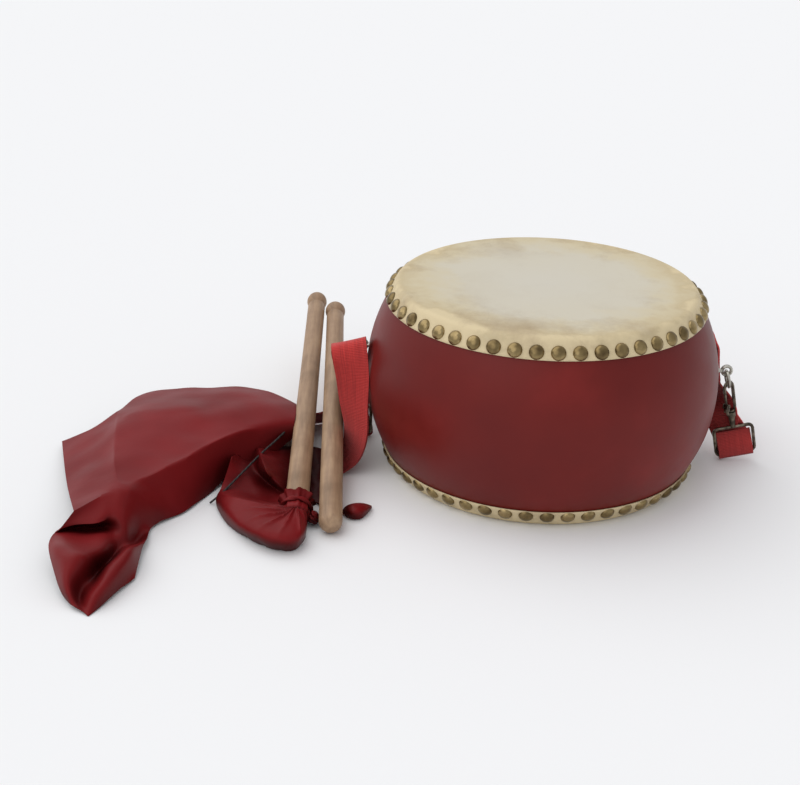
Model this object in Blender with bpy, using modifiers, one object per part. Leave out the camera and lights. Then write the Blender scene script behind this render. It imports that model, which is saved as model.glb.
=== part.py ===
# Chinese waist drum with its strap, snap hooks, two sticks and silk scarves.
# Units are metres, +Z is up, and the origin is the centre of the drum's lower face.
import math

import bmesh
import bpy
from mathutils import Matrix, Vector

MM = 0.001
FIT_GAP = 0.3 * MM

# Drum body
DRUM_HEIGHT = 135.8 * MM
SKIRT_RADIUS = 112.3 * MM
BELLY_BULGE = 12.9 * MM
BELLY_RADIUS = SKIRT_RADIUS + BELLY_BULGE
SKIRT_DROP = 13.2 * MM
SKIRT_SLOPE = math.radians(29.5)
SHOULDER_FILLET = 5.0 * MM
SKIN_THICKNESS = 1.0 * MM
SHELL_WALL = 10.0 * MM
RIM_WIDTH = 9.0 * MM
DRUM_STEPS = 49

# Round-headed nails that hold the skins
NAIL_COUNT = 49
NAIL_RADIUS = 5.0 * MM
NAIL_RISE = 2.9 * MM
NAIL_DROP = 8.8 * MM
NAIL_SINK = 0.5 * MM
NAIL_SIDES = 6

# Screw eyes and rings on the shell's sides
HANGER_HEIGHT = 71.0 * MM
RIGHT_AZIMUTH = math.radians(7.5)
LEFT_AZIMUTH = math.radians(170.0)
PLATE_RADIUS = 8.0 * MM
PLATE_THICKNESS = 1.2 * MM
EYE_LOOP_RADIUS = 3.4 * MM
EYE_WIRE_RADIUS = 1.3 * MM
EYE_NECK = 2.4 * MM
EYE_SHANK_RADIUS = 1.5 * MM
EYE_SHANK_LENGTH = 8.0 * MM
RING_RADIUS = 6.0 * MM
RING_WIRE_RADIUS = 1.2 * MM

# Swivel snap hooks and their strap eyes
RIGHT_LEAN = math.radians(12.0)
LEFT_LEAN = 0.0
RIGHT_EYE_TURN = 0.0
LEFT_EYE_TURN = math.radians(-45.0)
HOOK_TURN = math.radians(40.0)
HOOK_WIRE_RADIUS = 1.3 * MM
HOOK_HALF_WIDTH = 4.6 * MM
HOOK_LENGTH = 24.0 * MM
HOOK_NOSE = 2.4 * MM
HOOK_SHOULDER = 3.2 * MM
BOSS_RADIUS = 3.0 * MM
BOSS_HEIGHT = 3.6 * MM
GATE_LENGTH = 10.5 * MM
GATE_THICKNESS = 2.0 * MM
PIN_RADIUS = 0.7 * MM
CHEEK_THICKNESS = 0.9 * MM
CHEEK_RADIUS = 1.9 * MM
KNUCKLE_RADIUS = 1.6 * MM
LUG_LENGTH = 4.0 * MM
STEM_RADIUS = 1.2 * MM
STEM_HEAD_RADIUS = 2.1 * MM
STEM_HEAD_HEIGHT = 1.2 * MM
NECK_RADIUS = 2.4 * MM
STRAP_EYE_TOP = 33.0 * MM
STRAP_EYE_HALF_WIDTH = 14.2 * MM
STRAP_EYE_HEIGHT = 21.0 * MM
STRAP_EYE_CORNER = 3.0 * MM

# Strap webbing
STRAP_WIDTH = 25.0 * MM
STRAP_THICKNESS = 1.4 * MM

# Sound spring inside the drum
SPRING_COIL_RADIUS = 4.0 * MM
SPRING_WIRE_RADIUS = 0.6 * MM
SPRING_TURNS = 12
SPRING_EYE_RADIUS = 3.2 * MM
SPRING_EYE_WIRE = 0.9 * MM
SPRING_HOOK_RADIUS = 2.8 * MM
SPRING_SHANK_LENGTH = 6.0 * MM
SPRING_LEAD = 14.0 * MM
SPRING_BEND = 5.0 * MM

# Sticks
STICK_LENGTH = 311.0 * MM
STICK_BUTT_RADIUS = 7.9 * MM
STICK_NECK_RADIUS = 7.0 * MM
STICK_KNOB_RADIUS = 8.1 * MM
STICK_KNOB_LENGTH = 16.0 * MM
STICK_BUTT_LENGTH = 12.0 * MM
STICK_STEPS = 16

for old_object in list(bpy.data.objects):
    bpy.data.objects.remove(old_object, do_unlink=True)

drum_set = bpy.data.collections.new("waist_drum")
cutters = bpy.data.collections.new("waist_drum_cutters")
bpy.context.scene.collection.children.link(drum_set)
bpy.context.scene.collection.children.link(cutters)


# Materials

def material(name, colour, roughness, metallic=0.0):
    made = bpy.data.materials.new(name)
    made.use_nodes = True
    made.diffuse_color = (*colour, 1.0)
    shader = made.node_tree.nodes["Principled BSDF"]
    shader.inputs["Base Color"].default_value = (*colour, 1.0)
    shader.inputs["Roughness"].default_value = roughness
    shader.inputs["Metallic"].default_value = metallic
    return made


LACQUER = material("red_lacquer", (0.24, 0.03, 0.028), 0.38)
HIDE = material("raw_hide", (0.69, 0.6, 0.42), 0.6)
STEEL = material("plated_steel", (0.5, 0.48, 0.43), 0.35, 1.0)
BRONZE = material("dark_bronze", (0.16, 0.14, 0.11), 0.4, 1.0)
WEBBING = material("red_webbing", (0.5, 0.035, 0.035), 0.75)
WOOD = material("plain_wood", (0.45, 0.31, 0.2), 0.6)
SILK = material("red_satin", (0.25, 0.022, 0.027), 0.45)
BLACK = material("black_cord", (0.015, 0.013, 0.013), 0.7)


# Small tools

def place(obj, collection, finish=None):
    collection.objects.link(obj)
    if finish is not None:
        obj.data.materials.append(finish)
    return obj


def smooth(obj, angle=math.radians(40)):
    obj.data.shade_smooth()
    obj.data.set_sharp_from_angle(angle=angle)


def frame_empty(name, location, azimuth, lean=0.0):
    """An empty whose X points away from the drum's axis; its -Z leans outward by lean."""
    empty = bpy.data.objects.new(name, None)
    turn = Matrix.Rotation(azimuth, 4, "Z") @ Matrix.Rotation(-lean, 4, "Y")
    empty.matrix_world = Matrix.Translation(location) @ turn
    drum_set.objects.link(empty)
    return empty


def attach(obj, parent, location=(0, 0, 0), turn_z=0.0):
    obj.parent = parent
    obj.location = location
    obj.rotation_euler = (0, 0, turn_z)
    return obj


def turned(name, profile, steps, finish, closed=False, collection=drum_set):
    """A turned piece: the (radius, z) profile is spun about Z with a Screw modifier."""
    mesh = bpy.data.meshes.new(name)
    count = len(profile)
    edges = [(i, i + 1) for i in range(count - 1)]
    if closed:
        edges.append((count - 1, 0))
    mesh.from_pydata([(r, 0, z) for r, z in profile], edges, [])
    obj = place(bpy.data.objects.new(name, mesh), collection, finish)
    screw = obj.modifiers.new("Turn", "SCREW")
    screw.steps = steps
    screw.render_steps = steps
    screw.use_merge_vertices = True
    screw.merge_threshold = 0.00001
    screw.use_normal_calculate = False
    screw.use_smooth_shade = True
    return obj


def tube(name, points, radius, resolution, finish, cyclic=False, collection=drum_set):
    """A round wire or cord: a poly curve with a bevel and filled ends."""
    curve = bpy.data.curves.new(name, "CURVE")
    curve.dimensions = "3D"
    curve.render_resolution_u = 0
    spline = curve.splines.new("POLY")
    spline.points.add(len(points) - 1)
    for vertex, point in zip(spline.points, points):
        vertex.co = (*point, 1.0)
    spline.use_cyclic_u = cyclic
    curve.bevel_depth = radius
    curve.bevel_resolution = resolution
    curve.use_fill_caps = not cyclic
    return place(bpy.data.objects.new(name, curve), collection, finish)


def meshed(curve_object):
    """Turn a curve object into a closed mesh object of the same name."""
    bpy.context.view_layer.update()
    graph = bpy.context.evaluated_depsgraph_get()
    mesh = bpy.data.meshes.new_from_object(curve_object.evaluated_get(graph))
    work = bmesh.new()
    work.from_mesh(mesh)
    bmesh.ops.remove_doubles(work, verts=work.verts, dist=0.000005)
    bmesh.ops.recalc_face_normals(work, faces=work.faces)
    work.to_mesh(mesh)
    work.free()
    name = curve_object.name
    home = curve_object.users_collection[0]
    world = curve_object.matrix_world.copy()
    bpy.data.objects.remove(curve_object, do_unlink=True)
    obj = bpy.data.objects.new(name, mesh)
    home.objects.link(obj)
    obj.matrix_world = world
    return obj


def cylinder(name, radius, start, end, sides=16, collection=cutters, finish=None, end_radius=None):
    """A cylinder or cone from start to end."""
    start = Vector(start)
    end = Vector(end)
    axis = end - start
    work = bmesh.new()
    bmesh.ops.create_cone(
        work, cap_ends=True, segments=sides, radius1=radius,
        radius2=radius if end_radius is None else end_radius, depth=axis.length,
    )
    turn = Vector((0, 0, 1)).rotation_difference(axis.normalized()).to_matrix().to_4x4()
    bmesh.ops.transform(work, matrix=Matrix.Translation((start + end) / 2) @ turn, verts=work.verts)
    mesh = bpy.data.meshes.new(name)
    work.to_mesh(mesh)
    work.free()
    return place(bpy.data.objects.new(name, mesh), collection, finish)


def torus(name, ring_radius, wire_radius, centre, normal, finish=None, collection=drum_set,
          steps=18, sides=6):
    """A closed wire ring about centre, square to normal."""
    mesh = bpy.data.meshes.new(name)
    work = bmesh.new()
    circle = bmesh.ops.create_circle(work, segments=sides, radius=wire_radius)
    lift = Matrix.Translation((ring_radius, 0, 0)) @ Matrix.Rotation(math.pi / 2, 4, "X")
    bmesh.ops.transform(work, matrix=lift, verts=circle["verts"])
    bmesh.ops.spin(
        work, geom=work.verts[:] + work.edges[:], cent=(0, 0, 0), axis=(0, 0, 1),
        angle=2 * math.pi, steps=steps, use_merge=True, use_duplicate=False,
    )
    bmesh.ops.remove_doubles(work, verts=work.verts, dist=0.000001)
    bmesh.ops.recalc_face_normals(work, faces=work.faces)
    turn = Vector((0, 0, 1)).rotation_difference(Vector(normal)).to_matrix().to_4x4()
    bmesh.ops.transform(work, matrix=Matrix.Translation(centre) @ turn, verts=work.verts)
    work.to_mesh(mesh)
    work.free()
    return place(bpy.data.objects.new(name, mesh), collection, finish)


def hide_tool(obj):
    obj.hide_render = True
    obj.display_type = "WIRE"


def combine(target, tool, operation):
    """Join or cut target with tool, which stays as a hidden helper under the same parent."""
    if tool.name not in cutters.objects:
        for home in list(tool.users_collection):
            home.objects.unlink(tool)
        cutters.objects.link(tool)
    hide_tool(tool)
    modifier = target.modifiers.new(operation.title(), "BOOLEAN")
    modifier.operation = operation
    modifier.solver = "EXACT"
    modifier.object = tool
    tool.parent = target
    return target


def smooth_path(points, spans):
    """Points of a smooth curve through the given points, spans pieces between each pair."""
    knots = [Vector(point) for point in points]
    path = []
    for i in range(len(knots) - 1):
        before = knots[max(i - 1, 0)]
        start = knots[i]
        end = knots[i + 1]
        after = knots[min(i + 2, len(knots) - 1)]
        for k in range(spans):
            t = k / spans
            path.append(
                0.5 * (2 * start + (end - before) * t
                       + (2 * before - 5 * start + 4 * end - after) * t ** 2
                       + (3 * start - before - 3 * end + after) * t ** 3)
            )
    path.append(knots[-1])
    return path


def ribbon(name, stations, spans, finish, thickness=STRAP_THICKNESS, width=STRAP_WIDTH):
    """Flat webbing: stations are (centre, width direction) pairs, joined by a smooth strip."""
    centres = smooth_path([station[0] for station in stations], spans)
    across = smooth_path([station[1] for station in stations], spans)
    work = bmesh.new()
    rows = []
    for i, centre in enumerate(centres):
        along = centres[min(i + 1, len(centres) - 1)] - centres[max(i - 1, 0)]
        along.normalize()
        side = across[i] - across[i].dot(along) * along
        side = side.normalized() * width / 2
        rows.append((work.verts.new(centre - side), work.verts.new(centre + side)))
    for (a, b), (c, d) in zip(rows, rows[1:]):
        work.faces.new((a, b, d, c))
    mesh = bpy.data.meshes.new(name)
    work.to_mesh(mesh)
    work.free()
    obj = place(bpy.data.objects.new(name, mesh), drum_set, finish)
    solidify = obj.modifiers.new("Webbing", "SOLIDIFY")
    solidify.thickness = thickness
    solidify.offset = 0.0
    solidify.use_even_offset = True
    return obj


# Drum shell and skins

def arc_through(radius_a, z_a, radius_b, z_b, count):
    """Points of the barrel arc from (radius_a, z_a) over the belly (radius_b, z_b) to its mirror."""
    rise = radius_b - radius_a
    half = abs(z_a - z_b)
    arc_radius = (half ** 2 + rise ** 2) / (2 * rise)
    centre = radius_b - arc_radius
    limit = math.asin(half / arc_radius)
    points = []
    for i in range(count + 1):
        angle = limit - 2 * limit * i / count
        points.append((centre + arc_radius * math.cos(angle), z_b + arc_radius * math.sin(angle)))
    return points


def head_outline(inset, count=3):
    """Outline of the drum's head from the flat to the skirt's edge, moved in by inset.

    Heights are measured down from the playing face."""
    fillet = SHOULDER_FILLET - inset
    corner = SKIRT_RADIUS - (SKIRT_DROP - inset) * math.tan(SKIRT_SLOPE) - inset / math.cos(SKIRT_SLOPE)
    turn = math.pi / 2 - SKIRT_SLOPE
    flat = corner - fillet * math.tan(turn / 2)
    points = []
    for i in range(count + 1):
        angle = turn * i / count
        points.append((flat + fillet * math.sin(angle), -inset - fillet * (1 - math.cos(angle))))
    points.append((SKIRT_RADIUS - inset / math.cos(SKIRT_SLOPE), -SKIRT_DROP))
    return points


def make_shell():
    middle = DRUM_HEIGHT / 2
    head = head_outline(SKIN_THICKNESS + FIT_GAP)
    top = [(r, DRUM_HEIGHT + z) for r, z in head]
    bottom = [(r, -z) for r, z in reversed(head)]
    start_radius, start_z = top[-1]
    outer = top + arc_through(start_radius, start_z, BELLY_RADIUS, middle, 8)[1:-1] + bottom
    rim_radius = top[0][0] - RIM_WIDTH
    inner = arc_through(rim_radius, top[0][1], BELLY_RADIUS - SHELL_WALL, middle, 6)
    shell = turned("drum_shell", outer + inner[::-1], DRUM_STEPS, LACQUER, closed=True)
    for azimuth in (RIGHT_AZIMUTH, LEFT_AZIMUTH):
        direction = Vector((math.cos(azimuth), math.sin(azimuth), 0))
        centre = Vector((0, 0, HANGER_HEIGHT))
        drill = cylinder(
            "hanger_drill", EYE_SHANK_RADIUS + FIT_GAP,
            centre + direction * (BELLY_RADIUS - EYE_SHANK_LENGTH - 3 * FIT_GAP),
            centre + direction * (BELLY_RADIUS + NAIL_RISE), 12,
        )
        combine(shell, drill, "DIFFERENCE")
    for side in (-1, 1):
        wall = BELLY_RADIUS - SHELL_WALL
        drill = cylinder(
            "spring_drill", SPRING_EYE_WIRE + FIT_GAP,
            (0, side * (wall - NAIL_RISE), middle),
            (0, side * (wall + SPRING_SHANK_LENGTH + FIT_GAP), middle), 12,
        )
        combine(shell, drill, "DIFFERENCE")
    return shell


def nail_ring(name):
    """All the nail domes of one head, as one mesh whose z=0 is the playing face."""
    work = bmesh.new()
    ring_radius = SKIRT_RADIUS - (SKIRT_DROP - NAIL_DROP) * math.tan(SKIRT_SLOPE)
    tilt = Matrix.Rotation(math.pi / 2 - SKIRT_SLOPE, 4, "Y")
    placed = set()
    for i in range(NAIL_COUNT):
        azimuth = 2 * math.pi * (i + 0.5) / NAIL_COUNT
        profile = [
            (0, NAIL_RISE),
            (0.62 * NAIL_RADIUS, 0.7 * NAIL_RISE),
            (NAIL_RADIUS, 0.0),
            (0.9 * NAIL_RADIUS, -NAIL_SINK),
            (0, -NAIL_SINK),
        ]
        verts = [work.verts.new((r, 0, z)) for r, z in profile]
        edges = [work.edges.new(pair) for pair in zip(verts, verts[1:])]
        bmesh.ops.spin(
            work, geom=verts + edges, cent=(0, 0, 0), axis=(0, 0, 1),
            angle=2 * math.pi, steps=NAIL_SIDES,
        )
        matrix = (Matrix.Rotation(azimuth, 4, "Z")
                  @ Matrix.Translation((ring_radius, 0, -NAIL_DROP)) @ tilt)
        dome = [vertex for vertex in work.verts if vertex not in placed]
        bmesh.ops.transform(work, matrix=matrix, verts=dome)
        placed.update(dome)
    bmesh.ops.remove_doubles(work, verts=work.verts, dist=0.000002)
    bmesh.ops.recalc_face_normals(work, faces=work.faces)
    mesh = bpy.data.meshes.new(name)
    work.to_mesh(mesh)
    work.free()
    return place(bpy.data.objects.new(name, mesh), cutters, HIDE)


def make_skin(name, location, turn_x):
    outer = head_outline(0.0)
    inner = head_outline(SKIN_THICKNESS)
    profile = [(0, 0)] + outer + inner[::-1] + [(0, -SKIN_THICKNESS)]
    skin = turned(name, profile, DRUM_STEPS, HIDE)
    combine(skin, nail_ring(name + "_nails"), "UNION")
    skin.location = location
    skin.rotation_euler = (turn_x, 0, 0)
    return skin


# Sound spring and its screw eyes

def make_spring():
    middle = DRUM_HEIGHT / 2
    wall = BELLY_RADIUS - SHELL_WALL
    eye_centre = wall - FIT_GAP - SPRING_EYE_RADIUS - SPRING_EYE_WIRE
    hook_centre = (eye_centre - SPRING_EYE_RADIUS
                   - (SPRING_HOOK_RADIUS - SPRING_EYE_WIRE - SPRING_WIRE_RADIUS - FIT_GAP))
    for name, side in (("front_spring_eye", -1), ("back_spring_eye", 1)):
        eye = torus(name, SPRING_EYE_RADIUS, SPRING_EYE_WIRE, (0, side * eye_centre, middle),
                    (0, 0, 1), STEEL, steps=14)
        shank = cylinder(
            name + "_shank", SPRING_EYE_WIRE,
            (0, side * (eye_centre + SPRING_EYE_RADIUS), middle),
            (0, side * (wall + SPRING_SHANK_LENGTH), middle), 8,
        )
        combine(eye, shank, "UNION")
        smooth(eye)
    coil_start = hook_centre - SPRING_LEAD
    hook = []
    for i in range(11):
        angle = math.radians(60 + 240 * i / 10)
        hook.append(Vector((
            0, -hook_centre + SPRING_HOOK_RADIUS * math.cos(angle),
            middle + SPRING_HOOK_RADIUS * math.sin(angle),
        )))
    lead_in = Vector((0, -coil_start - SPRING_BEND, middle - 0.5 * SPRING_COIL_RADIUS))
    coil = []
    steps = SPRING_TURNS * 8
    for i in range(steps + 1):
        angle = -math.pi / 2 + 2 * math.pi * SPRING_TURNS * i / steps
        coil.append(Vector((
            SPRING_COIL_RADIUS * math.cos(angle),
            -coil_start + 2 * coil_start * i / steps,
            middle + SPRING_COIL_RADIUS * math.sin(angle),
        )))
    lead_out = Vector((0, -lead_in.y, lead_in.z))
    far_hook = [Vector((0, -point.y, point.z)) for point in reversed(hook)]
    points = hook + [lead_in] + coil + [lead_out] + far_hook
    return tube("sound_spring", points, SPRING_WIRE_RADIUS, 1, STEEL)


# Rings, snap hooks and strap eyes on both sides

def make_hanger(side_name, azimuth, lean, eye_turn):
    """Screw eye, ring, snap hook, gate and strap eye of one side, hung down the leaning line."""
    outward = Vector((math.cos(azimuth), math.sin(azimuth), 0))
    plate_face = BELLY_RADIUS + FIT_GAP
    loop_centre = (plate_face + PLATE_THICKNESS + FIT_GAP + EYE_NECK
                   + EYE_LOOP_RADIUS + EYE_WIRE_RADIUS)
    post_frame = frame_empty(side_name + "_post_frame", (0, 0, HANGER_HEIGHT), azimuth)

    plate = cylinder(
        side_name + "_ring_plate", PLATE_RADIUS, (plate_face, 0, 0),
        (plate_face + PLATE_THICKNESS, 0, 0), 24, drum_set, STEEL,
        end_radius=PLATE_RADIUS - PLATE_THICKNESS / 2,
    )
    attach(plate, post_frame)
    plate_hole = cylinder(
        side_name + "_plate_hole", EYE_SHANK_RADIUS + FIT_GAP,
        (plate_face - PLATE_THICKNESS, 0, 0), (plate_face + 2 * PLATE_THICKNESS, 0, 0), 12,
    )
    combine(plate, plate_hole, "DIFFERENCE")

    eye = torus(side_name + "_screw_eye", EYE_LOOP_RADIUS, EYE_WIRE_RADIUS,
                (loop_centre, 0, 0), (0, 1, 0), STEEL, steps=16)
    attach(eye, post_frame)
    shank = cylinder(
        side_name + "_eye_shank", EYE_SHANK_RADIUS,
        (BELLY_RADIUS - EYE_SHANK_LENGTH, 0, 0),
        (loop_centre - EYE_LOOP_RADIUS, 0, 0), 12,
    )
    combine(eye, shank, "UNION")
    smooth(eye)

    drop = EYE_LOOP_RADIUS - EYE_WIRE_RADIUS - RING_WIRE_RADIUS - FIT_GAP
    hang_point = (outward * loop_centre + Vector((0, 0, HANGER_HEIGHT))
                  + drop * (math.sin(lean) * outward - math.cos(lean) * Vector((0, 0, 1))))
    chain = frame_empty(side_name + "_chain_frame", hang_point, azimuth, lean)

    ring = torus(side_name + "_ring", RING_RADIUS, RING_WIRE_RADIUS, (0, 0, -RING_RADIUS),
                 (1, 0, 0), STEEL, steps=18)
    attach(ring, chain)
    smooth(ring)

    ring_bottom = Vector((0, 0, -2 * RING_RADIUS))
    make_hook(side_name, chain, ring_bottom)
    make_strap_eye(side_name, chain, ring_bottom, eye_turn)
    return chain


def make_hook(side_name, chain, ring_bottom):
    half = HOOK_HALF_WIDTH
    top = RING_WIRE_RADIUS + HOOK_WIRE_RADIUS + 2 * FIT_GAP
    arc_centre = top - half
    boss_top = -(HOOK_LENGTH - BOSS_HEIGHT)
    corner = boss_top + HOOK_SHOULDER
    pivot_z = arc_centre - HOOK_NOSE - GATE_LENGTH
    spine = [(-half, 0, arc_centre - HOOK_NOSE)]
    for i in range(9):
        angle = math.pi - math.pi * i / 8
        spine.append((half * math.cos(angle), 0, arc_centre + half * math.sin(angle)))
    for i in range(1, 4):
        spine.append((half, 0, arc_centre + (corner - arc_centre) * i / 3))
    spine.append((0.86 * half, 0, boss_top - 0.1 * BOSS_HEIGHT))
    spine.append((0.4 * half, 0, boss_top - 0.55 * BOSS_HEIGHT))
    hook = meshed(tube(side_name + "_hook", spine, HOOK_WIRE_RADIUS, 1, None))
    hook.data.materials.append(BRONZE)
    attach(hook, chain, ring_bottom, HOOK_TURN)
    lug_arm = meshed(tube(
        side_name + "_hook_arm",
        [(-half, 0, pivot_z - LUG_LENGTH / 2), (-half, 0, corner),
         (-0.86 * half, 0, boss_top - 0.1 * BOSS_HEIGHT), (-0.4 * half, 0, boss_top - 0.55 * BOSS_HEIGHT)],
        HOOK_WIRE_RADIUS, 1, None,
    ))
    combine(hook, lug_arm, "UNION")
    boss = cylinder(side_name + "_hook_boss", BOSS_RADIUS, (0, 0, -HOOK_LENGTH), (0, 0, boss_top), 16)
    combine(hook, boss, "UNION")
    inner_half = GATE_THICKNESS / 2 + FIT_GAP
    lug_half = inner_half + CHEEK_THICKNESS
    lug = cylinder(side_name + "_hook_lug", lug_half, (-half, 0, pivot_z - LUG_LENGTH),
                   (-half, 0, pivot_z), 12)
    combine(hook, lug, "UNION")
    cheeks = cylinder(side_name + "_hook_cheeks", CHEEK_RADIUS, (-half, -lug_half, pivot_z),
                      (-half, lug_half, pivot_z), 12)
    combine(hook, cheeks, "UNION")
    slot_radius = KNUCKLE_RADIUS + 5 * FIT_GAP
    slot_z = pivot_z - KNUCKLE_RADIUS - FIT_GAP + slot_radius
    slot = cylinder(side_name + "_hook_slot", slot_radius, (-half, -inner_half, slot_z),
                    (-half, inner_half, slot_z), 16)
    combine(hook, slot, "DIFFERENCE")
    bore = cylinder(side_name + "_hook_bore", STEM_RADIUS + FIT_GAP, (0, 0, -HOOK_LENGTH - 1 * MM),
                    (0, 0, boss_top + 3 * MM), 12)
    combine(hook, bore, "DIFFERENCE")
    pin_hole = cylinder(side_name + "_pin_hole", PIN_RADIUS + FIT_GAP, (-half, -5 * MM, pivot_z),
                        (-half, 5 * MM, pivot_z), 10)
    combine(hook, pin_hole, "DIFFERENCE")
    smooth(hook)

    pin_half = inner_half + CHEEK_THICKNESS + 0.2 * MM
    pin = cylinder(side_name + "_gate_pin", PIN_RADIUS, (-half, -pin_half, pivot_z),
                   (-half, pin_half, pivot_z), 10, drum_set, BRONZE)
    attach(pin, chain, ring_bottom, HOOK_TURN)
    smooth(pin)

    tip = GATE_LENGTH - FIT_GAP
    gate = cylinder(side_name + "_gate", GATE_THICKNESS / 2, (0, 0, 1.0 * MM), (0, 0, tip), 8,
                    drum_set, BRONZE)
    knuckle = cylinder(side_name + "_gate_knuckle", KNUCKLE_RADIUS, (0, -GATE_THICKNESS / 2, 0),
                       (0, GATE_THICKNESS / 2, 0), 12)
    combine(gate, knuckle, "UNION")
    gate_hole = cylinder(side_name + "_gate_hole", PIN_RADIUS + FIT_GAP, (0, -5 * MM, 0),
                         (0, 5 * MM, 0), 10)
    combine(gate, gate_hole, "DIFFERENCE")
    turn = Matrix.Rotation(HOOK_TURN, 4, "Z")
    attach(gate, chain, ring_bottom + turn @ Vector((-half, 0, pivot_z)), HOOK_TURN)
    smooth(gate)
    return hook


def make_strap_eye(side_name, chain, ring_bottom, eye_turn):
    """The rectangular eye: a bent wire frame with a stem that turns in the hook's boss."""
    half = STRAP_EYE_HALF_WIDTH
    high = -STRAP_EYE_TOP
    low = high - STRAP_EYE_HEIGHT
    corner = STRAP_EYE_CORNER
    outline = []
    for sign_x, z, start in ((1, high, 0), (-1, high, 90), (-1, low, 180), (1, low, 270)):
        centre_x = sign_x * (half - corner)
        centre_z = z - corner if z == high else z + corner
        for i in range(4):
            angle = math.radians(start + 30 * i)
            outline.append((centre_x + corner * math.cos(angle), 0, centre_z + corner * math.sin(angle)))
    frame = meshed(tube(side_name + "_strap_eye", outline, EYE_WIRE_RADIUS, 1, None, cyclic=True))
    frame.data.materials.append(BRONZE)
    attach(frame, chain, ring_bottom, eye_turn)
    boss_top = -(HOOK_LENGTH - BOSS_HEIGHT)
    head = cylinder(side_name + "_stem_head", STEM_HEAD_RADIUS, (0, 0, boss_top + FIT_GAP),
                    (0, 0, boss_top + FIT_GAP + STEM_HEAD_HEIGHT), 12)
    stem = cylinder(side_name + "_stem", STEM_RADIUS, (0, 0, high), (0, 0, boss_top + STEM_HEAD_HEIGHT), 12)
    neck = cylinder(side_name + "_neck", EYE_WIRE_RADIUS + 0.6 * MM, (0, 0, high),
                    (0, 0, -HOOK_LENGTH - FIT_GAP), 12, end_radius=NECK_RADIUS)
    combine(frame, stem, "UNION")
    combine(frame, head, "UNION")
    combine(frame, neck, "UNION")
    smooth(frame)
    return frame


# Strap webbing

LEAD_HEIGHT = 26.3 * MM
LEAD_SETBACK = 6.5 * MM
RIGHT_LEAD_STEPS = (0.0, 2.6 * MM, 5.2 * MM)
LEFT_LEAD_STEPS = (0.0, 7.0 * MM)
LEAD_SLOPE = 0.19


def polar(azimuth, off, height):
    """A point round the drum in degrees, off from the belly and up in millimetres."""
    angle = math.radians(azimuth)
    radius = BELLY_RADIUS + off * MM
    return Vector((radius * math.cos(angle), radius * math.sin(angle), height * MM))


def beside(out, back, up):
    """A point at the drum's left side in millimetres, out from the belly, back and up."""
    return Vector((-BELLY_RADIUS - out * MM, back * MM, up * MM))


def polar_across(azimuth, radial, tangential, up):
    angle = math.radians(azimuth)
    return Vector((
        radial * math.cos(angle) - tangential * math.sin(angle),
        radial * math.sin(angle) + tangential * math.cos(angle),
        up,
    ))


def make_strap_end(side_name, chain, eye_turn):
    """The sewn loop of webbing round the strap eye's lower bar, up to where the lead begins."""
    bar_z = -2 * RING_RADIUS - STRAP_EYE_TOP - STRAP_EYE_HEIGHT
    loop = EYE_WIRE_RADIUS + FIT_GAP + STRAP_THICKNESS / 2
    tail = [(2.6, 17.0), (0.6, 11.5), (-1.6, 5.5)]
    lead = [(2.9, 5.5), (3.9, 12.0), (4.9, 18.0), (6.3, 25.2)]
    points = [(t * MM, h * MM) for t, h in tail]
    for i in range(5):
        angle = math.pi + math.pi * i / 4
        points.append((loop * math.cos(angle), loop * math.sin(angle)))
    points += [(t * MM, h * MM) for t, h in lead]
    stations = [((0, t, bar_z + h), (1, 0, 0)) for t, h in points]
    end = ribbon(side_name + "_strap_end", stations, 2, WEBBING)
    attach(end, chain, (0, 0, 0), eye_turn)
    return end


def lead_start(chain, eye_turn, inner_end, steps):
    """The lead's first stations, straight on from the sewn loop."""
    bar_z = -2 * RING_RADIUS - STRAP_EYE_TOP - STRAP_EYE_HEIGHT
    turn = Matrix.Rotation(eye_turn, 4, "Z")
    across = chain.matrix_world.to_3x3() @ (turn.to_3x3() @ Vector((inner_end, 0, 0)))
    stations = []
    for step in steps:
        height = bar_z + LEAD_HEIGHT + step
        setback = LEAD_SETBACK + LEAD_SLOPE * step
        centre = chain.matrix_world @ turn @ Vector((0, setback, height))
        stations.append((centre, across))
    return stations


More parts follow.
